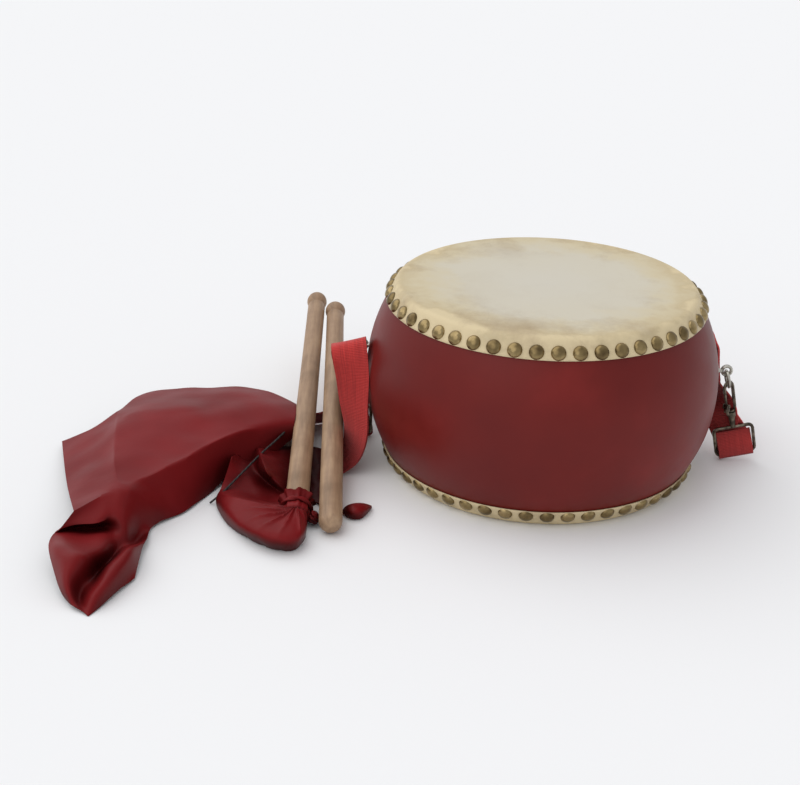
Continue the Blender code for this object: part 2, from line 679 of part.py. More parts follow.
RIGHT_LEAD = [
    (polar(13.5, 12.2, 44.5), polar_across(13.5, 0.42, -0.85, 0.1)),
    (polar(16.4, 7.3, 52.0), polar_across(16.4, 0.05, -0.95, 0.25)),
    (polar(18.4, 7.3, 61.0), polar_across(18.4, -0.02, -0.92, 0.38)),
    (polar(20.7, 8.5, 69.34), polar_across(22.66, 0.0, -0.64, 0.77)),
    (polar(21.68, 8.33, 71.27), polar_across(22.66, 0.0, -0.64, 0.77)),
    (polar(22.66, 8.2, 73.2), polar_across(22.66, 0.0, -0.64, 0.77)),
]
BACK_RUN = [
    (polar(22.99, 8.16, 73.84), polar_across(22.66, 0.0, -0.64, 0.77)),
    (polar(23.98, 8.08, 75.77), polar_across(22.66, 0.0, -0.64, 0.77)),
    (polar(24.96, 8.05, 77.7), polar_across(22.66, 0.0, -0.64, 0.77)),
    (polar(29.0, 7.4, 81.5), polar_across(29.0, 0.0, -0.4, 0.92)),
    (polar(34.0, 6.8, 83.2), polar_across(34.0, 0.0, -0.2, 0.98)),
    (polar(39.5, 6.8, 82.2), polar_across(39.5, 0.0, 0.15, 0.99)),
    (polar(46.0, 6.8, 76.0), polar_across(46.0, 0.0, 0.49, 0.87)),
    (polar(54.0, 7.8, 62.0), polar_across(54.0, 0.0, 0.63, 0.77)),
    (polar(65.0, 9.8, 40.0), polar_across(65.0, 0.1, 0.6, 0.79)),
    (polar(77.0, 11.3, 20.0), polar_across(77.0, 0.05, 0.41, 0.91)),
    (polar(90.0, 11.8, 13.2), polar_across(90.0, 0.0, 0.0, 1.0)),
    (polar(105.0, 11.8, 13.0), polar_across(105.0, 0.0, 0.0, 1.0)),
    (polar(122.0, 11.8, 13.0), polar_across(122.0, 0.0, 0.0, 1.0)),
    (polar(139.0, 15.8, 13.0), polar_across(139.0, 0.0, 0.0, 1.0)),
    (polar(152.0, 22.8, 13.2), polar_across(152.0, 0.0, 0.0, 1.0)),
]
LEFT_TURN = [
    (beside(19.8, 46, 12.8), Vector((0.2, -0.3, 0.93))),
    (beside(29.8, 29, 10.9), Vector((0.1, -0.72, 0.69))),
    (beside(42.8, 19.5, 9.4), Vector((0.0, -0.78, 0.62))),
    (beside(59.8, 15, 11.2), Vector((0.0, -0.6, 0.8))),
    (beside(77.8, 12, 13.4), Vector((0.0, -0.15, 0.99))),
    (beside(96.8, 4, 13.3), Vector((0.0, 0.0, 1.0))),
    (beside(109.8, -12, 13.4), Vector((0.0, 0.0, 1.0))),
    (beside(111.8, -34, 13.6), Vector((0.0, 0.0, 1.0))),
    (beside(101.8, -51, 13.8), Vector((-0.25, 0.3, 0.92))),
    (beside(85.8, -60, 9.0), Vector((-0.35, 0.8, 0.48))),
    (beside(66.8, -62, 3.2), Vector((-0.4, 0.88, 0.1))),
    (beside(48.8, -60.5, 1.7), Vector((-0.5, 0.85, 0.0))),
    (beside(32.8, -56, 1.6), Vector((-0.6, 0.8, 0.0))),
]
LEFT_ARCH = [
    (beside(21.8, -47.5, 1.7), Vector((-0.6, 0.8, 0))),
    (beside(13.3, -41.5, 5.2), Vector((-0.6, 0.8, 0))),
    (beside(6, -39, 14), Vector((-0.64, 0.76, 0))),
    (beside(3.1, -38, 30), Vector((-0.74, 0.66, -0.05))),
    (beside(5.3, -36, 51), Vector((-0.86, 0.45, -0.1))),
    (beside(6.3, -36.5, 70), Vector((-0.93, 0.2, -0.15))),
    (beside(8.3, -37, 86), Vector((-0.95, -0.05, -0.25))),
    (beside(9.8, -33.5, 93.5), Vector((-0.93, -0.15, -0.28))),
    (beside(10.8, -25, 92), Vector((-0.93, -0.12, -0.22))),
    (beside(12.1, -16, 85.5), Vector((-0.93, -0.05, -0.15))),
    (beside(12.9, -10.2, 79.5), Vector((-0.93, 0, -0.15))),
]
LEFT_LEAD = [
    (beside(13.2, -8.4, 77.4), Vector((0.93, 0.0, 0.15))),
    (beside(13.6, -3.8, 71.5), Vector((0.93, -0.08, 0.14))),
    (beside(13.8, 4, 60), Vector((0.88, -0.35, 0.1))),
    (beside(13.8, 13.5, 47), Vector((0.75, -0.62, 0.1))),
]


def make_strap():
    make_strap_end("right", right_chain, RIGHT_EYE_TURN)
    make_strap_end("left", left_chain, LEFT_EYE_TURN)
    right_start = lead_start(right_chain, RIGHT_EYE_TURN, 1, RIGHT_LEAD_STEPS)
    left_start = lead_start(left_chain, LEFT_EYE_TURN, -1, LEFT_LEAD_STEPS)
    ribbon("right_strap_lead", right_start + RIGHT_LEAD, 3, WEBBING)
    ribbon("left_strap_lead", LEFT_LEAD + left_start[::-1], 3, WEBBING)
    ribbon("strap_webbing", BACK_RUN + LEFT_TURN + LEFT_ARCH, 3, WEBBING)


# Sticks

def make_stick(name, butt, aim):
    """A beater from its butt towards the aimed point, as long as STICK_LENGTH."""
    butt = beside(*butt)
    knob_start = STICK_LENGTH - STICK_KNOB_LENGTH
    round_end = STICK_BUTT_LENGTH
    profile = [(0, 0), (0.45 * STICK_BUTT_RADIUS, 0.05 * round_end), (0.8 * STICK_BUTT_RADIUS, 0.2 * round_end),
               (0.97 * STICK_BUTT_RADIUS, 0.5 * round_end), (STICK_BUTT_RADIUS, round_end)]
    for i in range(1, 7):
        t = i / 6
        ease = t * t * (3 - 2 * t)
        profile.append((
            STICK_BUTT_RADIUS + (STICK_NECK_RADIUS - STICK_BUTT_RADIUS) * ease,
            round_end + (knob_start - round_end - 2 * MM) * t,
        ))
    for i in range(7):
        angle = math.radians(-50 + 140 * i / 6)
        profile.append((
            max(STICK_KNOB_RADIUS * math.cos(angle), 0.0) if i < 6 else 0.0,
            knob_start + 0.45 * STICK_KNOB_LENGTH + 0.55 * STICK_KNOB_LENGTH * math.sin(angle),
        ))
    stick = turned(name, profile[::-1], STICK_STEPS, WOOD)
    direction = (beside(*aim) - butt).normalized()
    stick.location = butt
    stick.rotation_mode = "QUATERNION"
    stick.rotation_quaternion = Vector((0, 0, 1)).rotation_difference(direction)
    return stick


# Silks and cord

SILK_THICKNESS = 1.0 * MM
CORD_RADIUS = 0.7 * MM
CUP_INNER = STICK_BUTT_RADIUS + FIT_GAP
CUP_OUTER = 10.2 * MM
CUP_LENGTH = 12.0 * MM
KNOT_RADIUS = 3.2 * MM
KNOT_OFFSET = Vector((11.8, 3.0, -1.7)) * MM
KNOT_UNDERSIDE = 0.5 * MM

# Soft cages in beside()'s millimetres, one list for each row of the cloth
SCARF_CAGE = [
    [(160.8, -232, 7), (151.8, -247, 3), (132.8, -259, 1), (122.8, -229, 1), (116.8, -216, 1)],
    [(172.8, -212, 16), (158.8, -218, 5), (144.8, -226, 2.5), (131.8, -213, 6), (119.8, -198, 2)],
    [(170.8, -214, 26), (162.8, -199, 12), (145.8, -200, 3), (130.8, -194, 12), (121.8, -182, 3)],
    [(162.8, -215, 34), (150.8, -207, 28), (136.8, -194, 16), (122.8, -193, 24), (121.8, -160, 4)],
    [(162.8, -188, 30), (148.8, -188, 30), (138.8, -174, 24), (121.8, -169, 28), (115.8, -141, 3)],
    [(188.8, -122, 14), (170.8, -125, 20), (149.8, -133, 27), (123.8, -135, 30), (101.8, -123, 3)],
    [(219.8, -38, 4), (187.8, -70, 16), (161.8, -91, 28), (127.8, -93, 34), (95.8, -104, 4)],
    [(200.8, -25, 9), (181.6, -23.5, 22.8), (147.5, -58.5, 31.8), (118.4, -59.5, 34.8), (97.8, -82, 12)],
    [(179.5, 26.7, 17.4), (152.4, -6.4, 26.4), (128.2, -19.4, 31.4), (105.1, -39.5, 33.4), (95, -67.8, 19.4)],
    [(154.7, 34.1, 20.8), (131.6, 11.1, 26.8), (107.4, -5, 30.8), (90.3, -30.2, 31.8), (84.2, -55.4, 23.8)],
    [(110.4, 37.2, 23.8), (100.4, 22.1, 26.8), (84.3, 5, 28.8), (73.2, -18.1, 28.8), (68.1, -37.3, 23.8)],
    [(86.3, 36.2, 24.3), (76.2, 20.1, 26.8), (67.1, 5, 27.8), (60.1, -12.1, 26.8), (59.1, -19.2, 22.8)],
    [(64.1, 17.1, 24.3), (61.1, 9, 25.8), (59.1, 2, 25.8), (57.6, -6.1, 24.8), (57, -10.1, 22.8)],
]
TIED_CAGE = [
    [(26.8, -140.5, 5), (25.6, -142.5, 6), (24.1, -145, 4), (23, -147.6, 0.9)],
    [(29.7, -141.5, 6), (27.8, -147.5, 9), (26, -154.2, 5), (24.7, -162, 0.9)],
    [(35, -140.2, 7.5), (36.7, -147.5, 10), (39, -156.4, 6), (40.7, -165, 0.9)],
    [(43, -134.5, 8), (48.6, -137.8, 11), (55.9, -145, 7), (61.5, -150.6, 0.9)],
    [(45.5, -127, 8), (57.1, -126.9, 11), (69.3, -129.8, 8), (78.8, -132, 1)],
    [(45.2, -119.6, 7), (60.6, -117.9, 10), (75.9, -116.3, 8), (87.8, -115, 2)],
    [(44.6, -116.7, 6), (60.1, -111.4, 8), (75.7, -106.1, 7), (87.8, -102, 5)],
    [(41.7, -111.8, 5), (56.9, -97.9, 6.5), (72, -83.9, 8), (83.8, -76, 10.5)],
    [(39.1, -109.7, 2.5), (53.1, -88.2, 5), (64.8, -72, 9.5), (73.8, -60, 12.5)],
    [(36.9, -106.4, 1.4), (46.8, -78, 7), (54.8, -55, 8), (60.8, -18, 2.5)],
    [(33.8, -105.6, 1.2), (38.5, -74, 5), (42.8, -42, 5), (46.8, -8, 2.5)],
    [(30.9, -105.5, 1.2), (29.8, -74, 3.8), (29.8, -40, 4.4), (29.8, -12, 2.5)],
    [(28.3, -105.7, 1.2), (26.6, -89.3, 2.2), (25.3, -74, 3.6), (26.3, -58, 4.2)],
    [(25.6, -106.8, 1.2), (24, -102, 1.2), (23, -96, 1.5), (22.3, -90, 1.8)],
]
TAIL_CAGE = [
    [(19.5, -129.4, 2.2), (19.6, -125.5, 2.6), (19.6, -121, 2)],
    [(14.8, -122, 1.3), (14.8, -118.5, 1.3), (14.8, -115, 1.3)],
    [(8.3, -119, 1.3), (8, -115.5, 1.3), (7.8, -112, 1.3)],
    [(2.3, -116.5, 1.3), (1.3, -112.5, 1.5), (0.3, -108.5, 1.3)],
    [(-4.2, -118, 1), (-6.2, -110, 4), (-8.7, -103.5, 5)],
    [(-11.2, -114, 1), (-12.7, -107, 3.6), (-13.2, -102.5, 5)],
    [(-15.7, -105.5, 1), (-16.5, -103.5, 2), (-16.2, -102, 2.6)],
]
CORD_POINTS = [
    (53.3, -23, 22), (59.5, -42.8, 20), (67.3, -62.7, 17.5), (74.9, -81.8, 13.6),
    (80.9, -96.7, 10.5), (86.9, -107.8, 6.6), (93.4, -110.6, 1.2),
]


def cloth(name, cage, thickness=SILK_THICKNESS):
    """Thin cloth: a coarse cage of rows, subdivided once and given a thickness."""
    columns = len(cage[0])
    points = [beside(*point) for row in cage for point in row]
    faces = []
    for i in range(len(cage) - 1):
        for j in range(columns - 1):
            start = i * columns + j
            faces.append((start, start + 1, start + columns + 1, start + columns))
    mesh = bpy.data.meshes.new(name)
    mesh.from_pydata(points, [], faces)
    obj = place(bpy.data.objects.new(name, mesh), drum_set, SILK)
    divide = obj.modifiers.new("Smooth folds", "SUBSURF")
    divide.levels = 1
    divide.render_levels = 1
    divide.boundary_smooth = "PRESERVE_CORNERS"
    solidify = obj.modifiers.new("Cloth", "SOLIDIFY")
    solidify.thickness = thickness
    solidify.offset = 0.0
    return obj


def make_knot(stick):
    """The knotted cloth wrapped over the stick's butt, flattened where it lies on the floor."""
    profile = [
        (0, -0.33 * CUP_LENGTH), (0.62 * CUP_OUTER, -0.28 * CUP_LENGTH), (0.93 * CUP_OUTER, 0.0),
        (CUP_OUTER, 0.33 * CUP_LENGTH), (0.95 * CUP_OUTER, 0.67 * CUP_LENGTH), (1.02 * CUP_OUTER, CUP_LENGTH),
        (CUP_INNER, 0.92 * CUP_LENGTH), (CUP_INNER, -FIT_GAP), (0, -FIT_GAP),
    ]
    knot = turned("silk_knot", profile, 14, SILK)
    knot.location = stick.location
    knot.rotation_mode = "QUATERNION"
    knot.rotation_quaternion = stick.rotation_quaternion
    ball = bpy.data.meshes.new("knot_ball")
    work = bmesh.new()
    bmesh.ops.create_icosphere(work, subdivisions=2, radius=KNOT_RADIUS)
    bmesh.ops.translate(work, verts=work.verts, vec=stick.location + KNOT_OFFSET)
    work.to_mesh(ball)
    work.free()
    lump = place(bpy.data.objects.new("knot_ball", ball), cutters, SILK)
    floor = bpy.data.meshes.new("knot_floor")
    work = bmesh.new()
    block = 6 * CUP_OUTER
    bmesh.ops.create_cube(work, size=block)
    under_centre = Vector((stick.location.x, stick.location.y, KNOT_UNDERSIDE - block / 2))
    bmesh.ops.translate(work, verts=work.verts, vec=under_centre)
    work.to_mesh(floor)
    work.free()
    under = place(bpy.data.objects.new("knot_floor", floor), cutters, SILK)
    for tool, operation in ((lump, "UNION"), (under, "DIFFERENCE")):
        modifier = knot.modifiers.new(operation.title(), "BOOLEAN")
        modifier.operation = operation
        modifier.solver = "EXACT"
        modifier.object = tool
        hide_tool(tool)
    return knot


make_shell()
make_skin("top_skin", (0, 0, DRUM_HEIGHT), 0.0)
make_skin("bottom_skin", (0, 0, 0), math.pi)
make_spring()
right_chain = make_hanger("right", RIGHT_AZIMUTH, RIGHT_LEAN, RIGHT_EYE_TURN)
left_chain = make_hanger("left", LEFT_AZIMUTH, LEFT_LEAN, LEFT_EYE_TURN)
make_strap()
STICK_1 = ((30.5, -132, 7.9), (64.3, 165.8, 48.7))
STICK_2 = ((5.1, -144.6, 7.9), (47.1, 154.6, 46.6))
first_stick = make_stick("stick_1", *STICK_1)
make_stick("stick_2", *STICK_2)
make_knot(first_stick)
cloth("silk_scarf", SCARF_CAGE)
cloth("tied_silk", TIED_CAGE)
cloth("silk_tail", TAIL_CAGE)
cord_path = [beside(*point) for point in CORD_POINTS]
tube("black_cord", smooth_path(cord_path, 2), CORD_RADIUS, 1, BLACK)
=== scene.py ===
# Chinese waist drum with strap, snap hooks, sticks and silks, shown on a plain pale floor.
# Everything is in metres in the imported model's frame: +Z up, the origin under the drum's centre.
import math

import bmesh
import bpy
from mathutils import Matrix, Vector, noise


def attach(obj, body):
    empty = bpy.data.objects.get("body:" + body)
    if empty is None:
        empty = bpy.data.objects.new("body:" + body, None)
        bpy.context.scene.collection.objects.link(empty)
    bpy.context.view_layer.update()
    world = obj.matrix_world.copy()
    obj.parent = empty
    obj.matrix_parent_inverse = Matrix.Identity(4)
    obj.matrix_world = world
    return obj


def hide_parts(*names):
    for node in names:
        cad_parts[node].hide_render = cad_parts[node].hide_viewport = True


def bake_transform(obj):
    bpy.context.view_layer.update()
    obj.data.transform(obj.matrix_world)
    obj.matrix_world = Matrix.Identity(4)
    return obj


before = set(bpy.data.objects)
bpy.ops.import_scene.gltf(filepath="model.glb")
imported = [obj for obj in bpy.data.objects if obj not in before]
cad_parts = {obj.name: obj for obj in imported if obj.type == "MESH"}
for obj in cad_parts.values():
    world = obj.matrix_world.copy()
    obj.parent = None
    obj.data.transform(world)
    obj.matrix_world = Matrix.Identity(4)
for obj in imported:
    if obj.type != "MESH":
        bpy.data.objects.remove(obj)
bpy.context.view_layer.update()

# Camera
# A long lens stands about 1.1 m in front of the drum and a little above it, rolled by a degree
# and a half, as fitted to the two rings of nails.
EYE = Vector((0.0, -1.01165, 0.49036))
YAW = -0.0998
PITCH = 0.4135
ROLL = 0.0268
ahead = Vector((math.sin(YAW) * math.cos(PITCH), math.cos(YAW) * math.cos(PITCH), -math.sin(PITCH)))
level_right = ahead.cross(Vector((0, 0, 1))).normalized()
level_up = level_right.cross(ahead)
right = math.cos(ROLL) * level_right + math.sin(ROLL) * level_up
up = -math.sin(ROLL) * level_right + math.cos(ROLL) * level_up
camera_data = bpy.data.cameras.new("camera")
camera_data.lens = 68.335
camera_data.sensor_width = 36.0
camera_data.clip_start = 0.05
camera_data.clip_end = 20.0
camera = bpy.data.objects.new("camera", camera_data)
camera.matrix_world = Matrix.Translation(EYE) @ Matrix((right, up, -ahead)).transposed().to_4x4()
bpy.context.scene.collection.objects.link(camera)
bpy.context.scene.camera = camera


# Floor and light
# A plain pale studio sheet under a wide, high key light from the left and a little behind, a
# weaker one from the front left and an even pale surround, so that the shadows stay soft.
FLOOR_SIDE = 6.0
FLOOR_NEAR = -3.0
FLOOR_FAR = 9.0
FLOOR_COLOUR = (0.885, 0.885, 0.89, 1.0)
SURROUND_COLOUR = (0.97, 0.98, 1.0, 1.0)
SURROUND_STRENGTH = 0.68


def blank_material(name, **values):
    """A new material, its tree and its shader, with uniform values set on the shader."""
    made = bpy.data.materials.new(name)
    made.use_nodes = True
    shader = made.node_tree.nodes["Principled BSDF"]
    for key, value in values.items():
        shader.inputs[key.replace("_", " ")].default_value = value
    return made, made.node_tree, shader


floor_mesh = bpy.data.meshes.new("floor")
floor_corners = [(-FLOOR_SIDE, FLOOR_NEAR, 0), (FLOOR_SIDE, FLOOR_NEAR, 0),
                 (FLOOR_SIDE, FLOOR_FAR, 0), (-FLOOR_SIDE, FLOOR_FAR, 0)]
floor_mesh.from_pydata(floor_corners, [], [(0, 1, 2, 3)])
floor = bpy.data.objects.new("floor", floor_mesh)
bpy.context.scene.collection.objects.link(floor)
floor_paint, tree, shader = blank_material(
    "studio_floor", Base_Color=FLOOR_COLOUR, Roughness=0.9, Specular_IOR_Level=0.0)
floor_mesh.materials.append(floor_paint)

world = bpy.data.worlds.new("surround")
world.use_nodes = True
world.node_tree.nodes["Background"].inputs["Color"].default_value = SURROUND_COLOUR
world.node_tree.nodes["Background"].inputs["Strength"].default_value = SURROUND_STRENGTH
bpy.context.scene.world = world
bpy.context.scene.view_settings.view_transform = "Standard"
bpy.context.scene.view_settings.look = "None"
for lamp_name, away, spread, power in (
    ("key_light", (-0.65, 0.25, 1.0), 75.0, 1.12),
    ("front_light", (-0.5, -0.9, 0.7), 50.0, 0.45),
):
    lamp_data = bpy.data.lights.new(lamp_name, "SUN")
    lamp_data.angle = math.radians(spread)
    lamp_data.energy = power
    lamp = bpy.data.objects.new(lamp_name, lamp_data)
    lamp.location = away
    lamp.rotation_mode = "QUATERNION"
    lamp.rotation_quaternion = Vector(away).to_track_quat("Z", "Y")
    bpy.context.scene.collection.objects.link(lamp)

# Drum shell
# The barrel is turned or coopered wood under dark red lacquer, semi-matt and lightly worn,
# with the ends hidden under the two skins.
MM = 0.001
HEIGHT = 135.8 * MM
BELLY_RADIUS = 125.2 * MM
SKIRT_DROP = 13.2 * MM
SHELL_END_RADIUS = 110.8 * MM
SHELL_WALL = 10.0 * MM
END_ROUND_RADIUS = 104.0 * MM
END_ROUND_INSET = 3.0 * MM
END_FLAT_RADIUS = 100.0 * MM
END_FLAT_INSET = 1.4 * MM
BOW_STEPS = 32
TURNED_STEPS = 128
SHOWN = bpy.data.collections.new("waist_drum_looks")
bpy.context.scene.collection.children.link(SHOWN)


def node(tree, kind, inputs=None, **settings):
    """A shader node with its settings and its inputs, each a value or another node's socket."""
    made = tree.nodes.new(kind)
    for key, value in settings.items():
        setattr(made, key, value)
    for key, value in (inputs or {}).items():
        if isinstance(value, bpy.types.NodeSocket):
            tree.links.new(value, made.inputs[key])
        else:
            made.inputs[key].default_value = value
    return made


def ramp(tree, factor, stops):
    """A colour ramp over factor; stops are (position, colour) pairs."""
    made = tree.nodes.new("ShaderNodeValToRGB")
    tree.links.new(factor, made.inputs["Fac"])
    while len(made.color_ramp.elements) < len(stops):
        made.color_ramp.elements.new(0.5)
    for element, (position, colour) in zip(made.color_ramp.elements, stops):
        element.position = position
        element.color = (*colour, 1.0)
    return made.outputs["Color"]


def link_bump(tree, shader, height, distance, strength=1.0):
    bump = node(tree, "ShaderNodeBump", {"Height": height, "Distance": distance, "Strength": strength})
    tree.links.new(bump.outputs["Normal"], shader.inputs["Normal"])


def shown(name, mesh, paint=None):
    """An object of the shown set, smooth shaded."""
    obj = bpy.data.objects.new(name, mesh)
    SHOWN.objects.link(obj)
    if paint is not None:
        mesh.materials.append(paint)
    mesh.shade_smooth()
    return obj


def turned(name, profile, steps, paint, closed=False):
    """A mesh turned about Z from (radius, height) pairs, open or closed to a ring section."""
    work = bmesh.new()
    rings = []
    for radius, height in profile:
        if radius < 1e-6:
            rings.append([work.verts.new((0, 0, height))] * steps)
            continue
        rings.append([
            work.verts.new((radius * math.cos(2 * math.pi * k / steps),
                            radius * math.sin(2 * math.pi * k / steps), height))
            for k in range(steps)
        ])
    pairs = list(zip(rings, rings[1:])) + ([(rings[-1], rings[0])] if closed else [])
    for low, high in pairs:
        for k in range(steps):
            corners = [low[k], low[(k + 1) % steps], high[(k + 1) % steps], high[k]]
            corners = [v for i, v in enumerate(corners) if v not in corners[:i]]
            if len(corners) > 2:
                work.faces.new(corners)
    bmesh.ops.recalc_face_normals(work, faces=work.faces)
    mesh = bpy.data.meshes.new(name)
    work.to_mesh(mesh)
    work.free()
    return shown(name, mesh, paint)


half_height = HEIGHT / 2 - SKIRT_DROP
bulge = BELLY_RADIUS - SHELL_END_RADIUS
bow = (half_height ** 2 + bulge ** 2) / (2 * bulge)
bow_limit = math.asin(half_height / bow)
shell_profile = []
for k in range(BOW_STEPS + 1):
    angle = bow_limit * (1 - 2 * k / BOW_STEPS)
    shell_profile.append((BELLY_RADIUS - bow + bow * math.cos(angle), HEIGHT / 2 + bow * math.sin(angle)))
upper_end = [(END_FLAT_RADIUS, HEIGHT - END_FLAT_INSET), (END_ROUND_RADIUS, HEIGHT - END_ROUND_INSET)]
lower_end = [(END_ROUND_RADIUS, END_ROUND_INSET), (END_FLAT_RADIUS, END_FLAT_INSET)]
shell_profile = upper_end + shell_profile + lower_end
inner_wall = [(radius - SHELL_WALL, height) for radius, height in reversed(shell_profile)]

lacquer, tree, shader = blank_material("red_lacquer", Specular_IOR_Level=0.22)
place = node(tree, "ShaderNodeTexCoord")
mottle = node(tree, "ShaderNodeTexNoise", {"Vector": place.outputs["Object"], "Scale": 14.0, "Detail": 6.0})
tree.links.new(
    ramp(tree, mottle.outputs["Fac"], [(0.3, (0.115, 0.007, 0.006)), (0.55, (0.142, 0.009, 0.007)),
                                       (0.8, (0.20, 0.014, 0.012))]),
    shader.inputs["Base Color"],
)
scuffs = node(tree, "ShaderNodeTexNoise", {"Vector": place.outputs["Object"], "Scale": 55.0, "Detail": 8.0})
rough = node(tree, "ShaderNodeMapRange", {"Value": scuffs.outputs["Fac"], "To Min": 0.36, "To Max": 0.5})
tree.links.new(rough.outputs["Result"], shader.inputs["Roughness"])
link_bump(tree, shader, scuffs.outputs["Fac"], 0.00025, 0.5)
shell = turned("shell_look", shell_profile + inner_wall, TURNED_STEPS, lacquer, closed=True)
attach(shell, "drum")
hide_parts("drum_shell")

# Skins and nails
# Each head is one scraped rawhide, wetted, drawn over the rim and nailed down all round with
# dome-headed brass nails. It is cream in the middle and yellower, stained and creased at the rim.
SKIN_SLOPE = math.radians(29.5)
SKIRT_RADIUS = 112.3 * MM
SKIN_FILLET = 5.0 * MM
NAIL_COUNT = 49
NAIL_RADIUS = 5.0 * MM
NAIL_RISE = 2.9 * MM
NAIL_DROP = 8.8 * MM
NAIL_SIDES = 18
NAIL_RINGS = 5
FILLET_STEPS = 8
SKIRT_STEPS = 6
HEM_THICKNESS = 1.1 * MM
HEM_ROUND = 0.2 * MM
HEM_SAG = 0.15 * MM
skin_corner = SKIRT_RADIUS - SKIRT_DROP * math.tan(SKIN_SLOPE)
skin_turn = math.pi / 2 - SKIN_SLOPE
skin_flat = skin_corner - SKIN_FILLET * math.tan(skin_turn / 2)
skin_profile = [(share * skin_flat, 0) for share in (0, 0.25, 0.5, 0.75, 0.93)]
for k in range(FILLET_STEPS + 1):
    angle = skin_turn * k / FILLET_STEPS
    skin_profile.append((skin_flat + SKIN_FILLET * math.sin(angle), -SKIN_FILLET * (1 - math.cos(angle))))
last_radius, last_drop = skin_profile[-1]
for k in range(1, SKIRT_STEPS + 1):
    part = k / SKIRT_STEPS
    skin_profile.append((last_radius + (SKIRT_RADIUS - last_radius) * part,
                         last_drop + (-SKIRT_DROP - last_drop) * part))
skin_profile += [(SKIRT_RADIUS - HEM_ROUND, -SKIRT_DROP - HEM_SAG),
                 (SKIRT_RADIUS - HEM_THICKNESS, -SKIRT_DROP)]

hide, tree, shader = blank_material("raw_hide", Roughness=0.62)
place = node(tree, "ShaderNodeTexCoord")
axes = node(tree, "ShaderNodeSeparateXYZ", {"Vector": place.outputs["Object"]})
flat_place = node(tree, "ShaderNodeCombineXYZ", {"X": axes.outputs["X"], "Y": axes.outputs["Y"], "Z": 0.0})
distance = node(tree, "ShaderNodeVectorMath", {0: flat_place.outputs["Vector"]}, operation="LENGTH")
cloud = node(tree, "ShaderNodeTexNoise", {"Vector": place.outputs["Object"], "Scale": 26.0, "Detail": 7.0,
                                          "Roughness": 0.62})
wobble = node(tree, "ShaderNodeMath", {0: cloud.outputs["Fac"], 1: 0.07}, operation="MULTIPLY")
spread = node(tree, "ShaderNodeMath", {0: distance.outputs["Value"], 1: wobble.outputs["Value"]},
              operation="ADD")
across = node(tree, "ShaderNodeMath", {0: spread.outputs["Value"], 1: 7.0}, operation="MULTIPLY")
base = ramp(tree, across.outputs["Value"], [
    (0.3, (0.60, 0.56, 0.47)), (0.7, (0.60, 0.55, 0.44)), (0.86, (0.60, 0.515, 0.345)),
    (0.95, (0.55, 0.445, 0.265)), (1.0, (0.66, 0.54, 0.33)),
])
blot = node(tree, "ShaderNodeTexNoise", {"Vector": place.outputs["Object"], "Scale": 15.0, "Detail": 9.0,
                                         "Roughness": 0.68})
stain = node(tree, "ShaderNodeMapRange", {"Value": blot.outputs["Fac"], "From Min": 0.5, "From Max": 0.72,
                                          "To Max": 0.75})
near_rim = node(tree, "ShaderNodeMapRange", {"Value": distance.outputs["Value"], "From Min": 0.05,
                                             "From Max": 0.092, "To Min": 0.12})
stain_share = node(tree, "ShaderNodeMath", {0: stain.outputs["Result"], 1: near_rim.outputs["Result"]},
                   operation="MULTIPLY")
stained = node(tree, "ShaderNodeMix", {"Factor": stain_share.outputs["Value"], "A": base,
                                       "B": (0.33, 0.235, 0.14, 1.0)}, data_type="RGBA")
drift = node(tree, "ShaderNodeTexNoise", {"Vector": place.outputs["Object"], "Scale": 11.0, "Detail": 2.5,
                                          "Distortion": 1.4})
mid_level = node(tree, "ShaderNodeMath", {0: drift.outputs["Fac"], 1: 0.5}, operation="SUBTRACT")
from_line = node(tree, "ShaderNodeMath", {0: mid_level.outputs["Value"]}, operation="ABSOLUTE")
crease = node(tree, "ShaderNodeMapRange", {"Value": from_line.outputs["Value"], "From Min": 0.0,
                                           "From Max": 0.006, "To Min": 0.45, "To Max": 0.0})
creased = node(tree, "ShaderNodeMath", {0: crease.outputs["Result"], 1: stain_share.outputs["Value"]},
               operation="MULTIPLY")
lined = node(tree, "ShaderNodeMix", {"Factor": creased.outputs["Value"], "A": stained.outputs["Result"],
                                     "B": (0.16, 0.11, 0.07, 1.0)}, data_type="RGBA")
tree.links.new(lined.outputs["Result"], shader.inputs["Base Color"])
grain = node(tree, "ShaderNodeTexNoise", {"Vector": place.outputs["Object"], "Scale": 160.0, "Detail": 6.0})
link_bump(tree, shader, grain.outputs["Fac"], 0.0002, 0.6)

brass, tree, shader = blank_material("nail_brass", Metallic=1.0)
place = node(tree, "ShaderNodeTexCoord")
tarnish = node(tree, "ShaderNodeTexNoise", {"Vector": place.outputs["Object"], "Scale": 75.0, "Detail": 5.0})
tree.links.new(
    ramp(tree, tarnish.outputs["Fac"], [(0.32, (0.11, 0.075, 0.035)), (0.5, (0.24, 0.175, 0.08)),
                                        (0.7, (0.40, 0.30, 0.15))]),
    shader.inputs["Base Color"],
)
dull = node(tree, "ShaderNodeMapRange", {"Value": tarnish.outputs["Fac"], "To Min": 0.4, "To Max": 0.18})
tree.links.new(dull.outputs["Result"], shader.inputs["Roughness"])

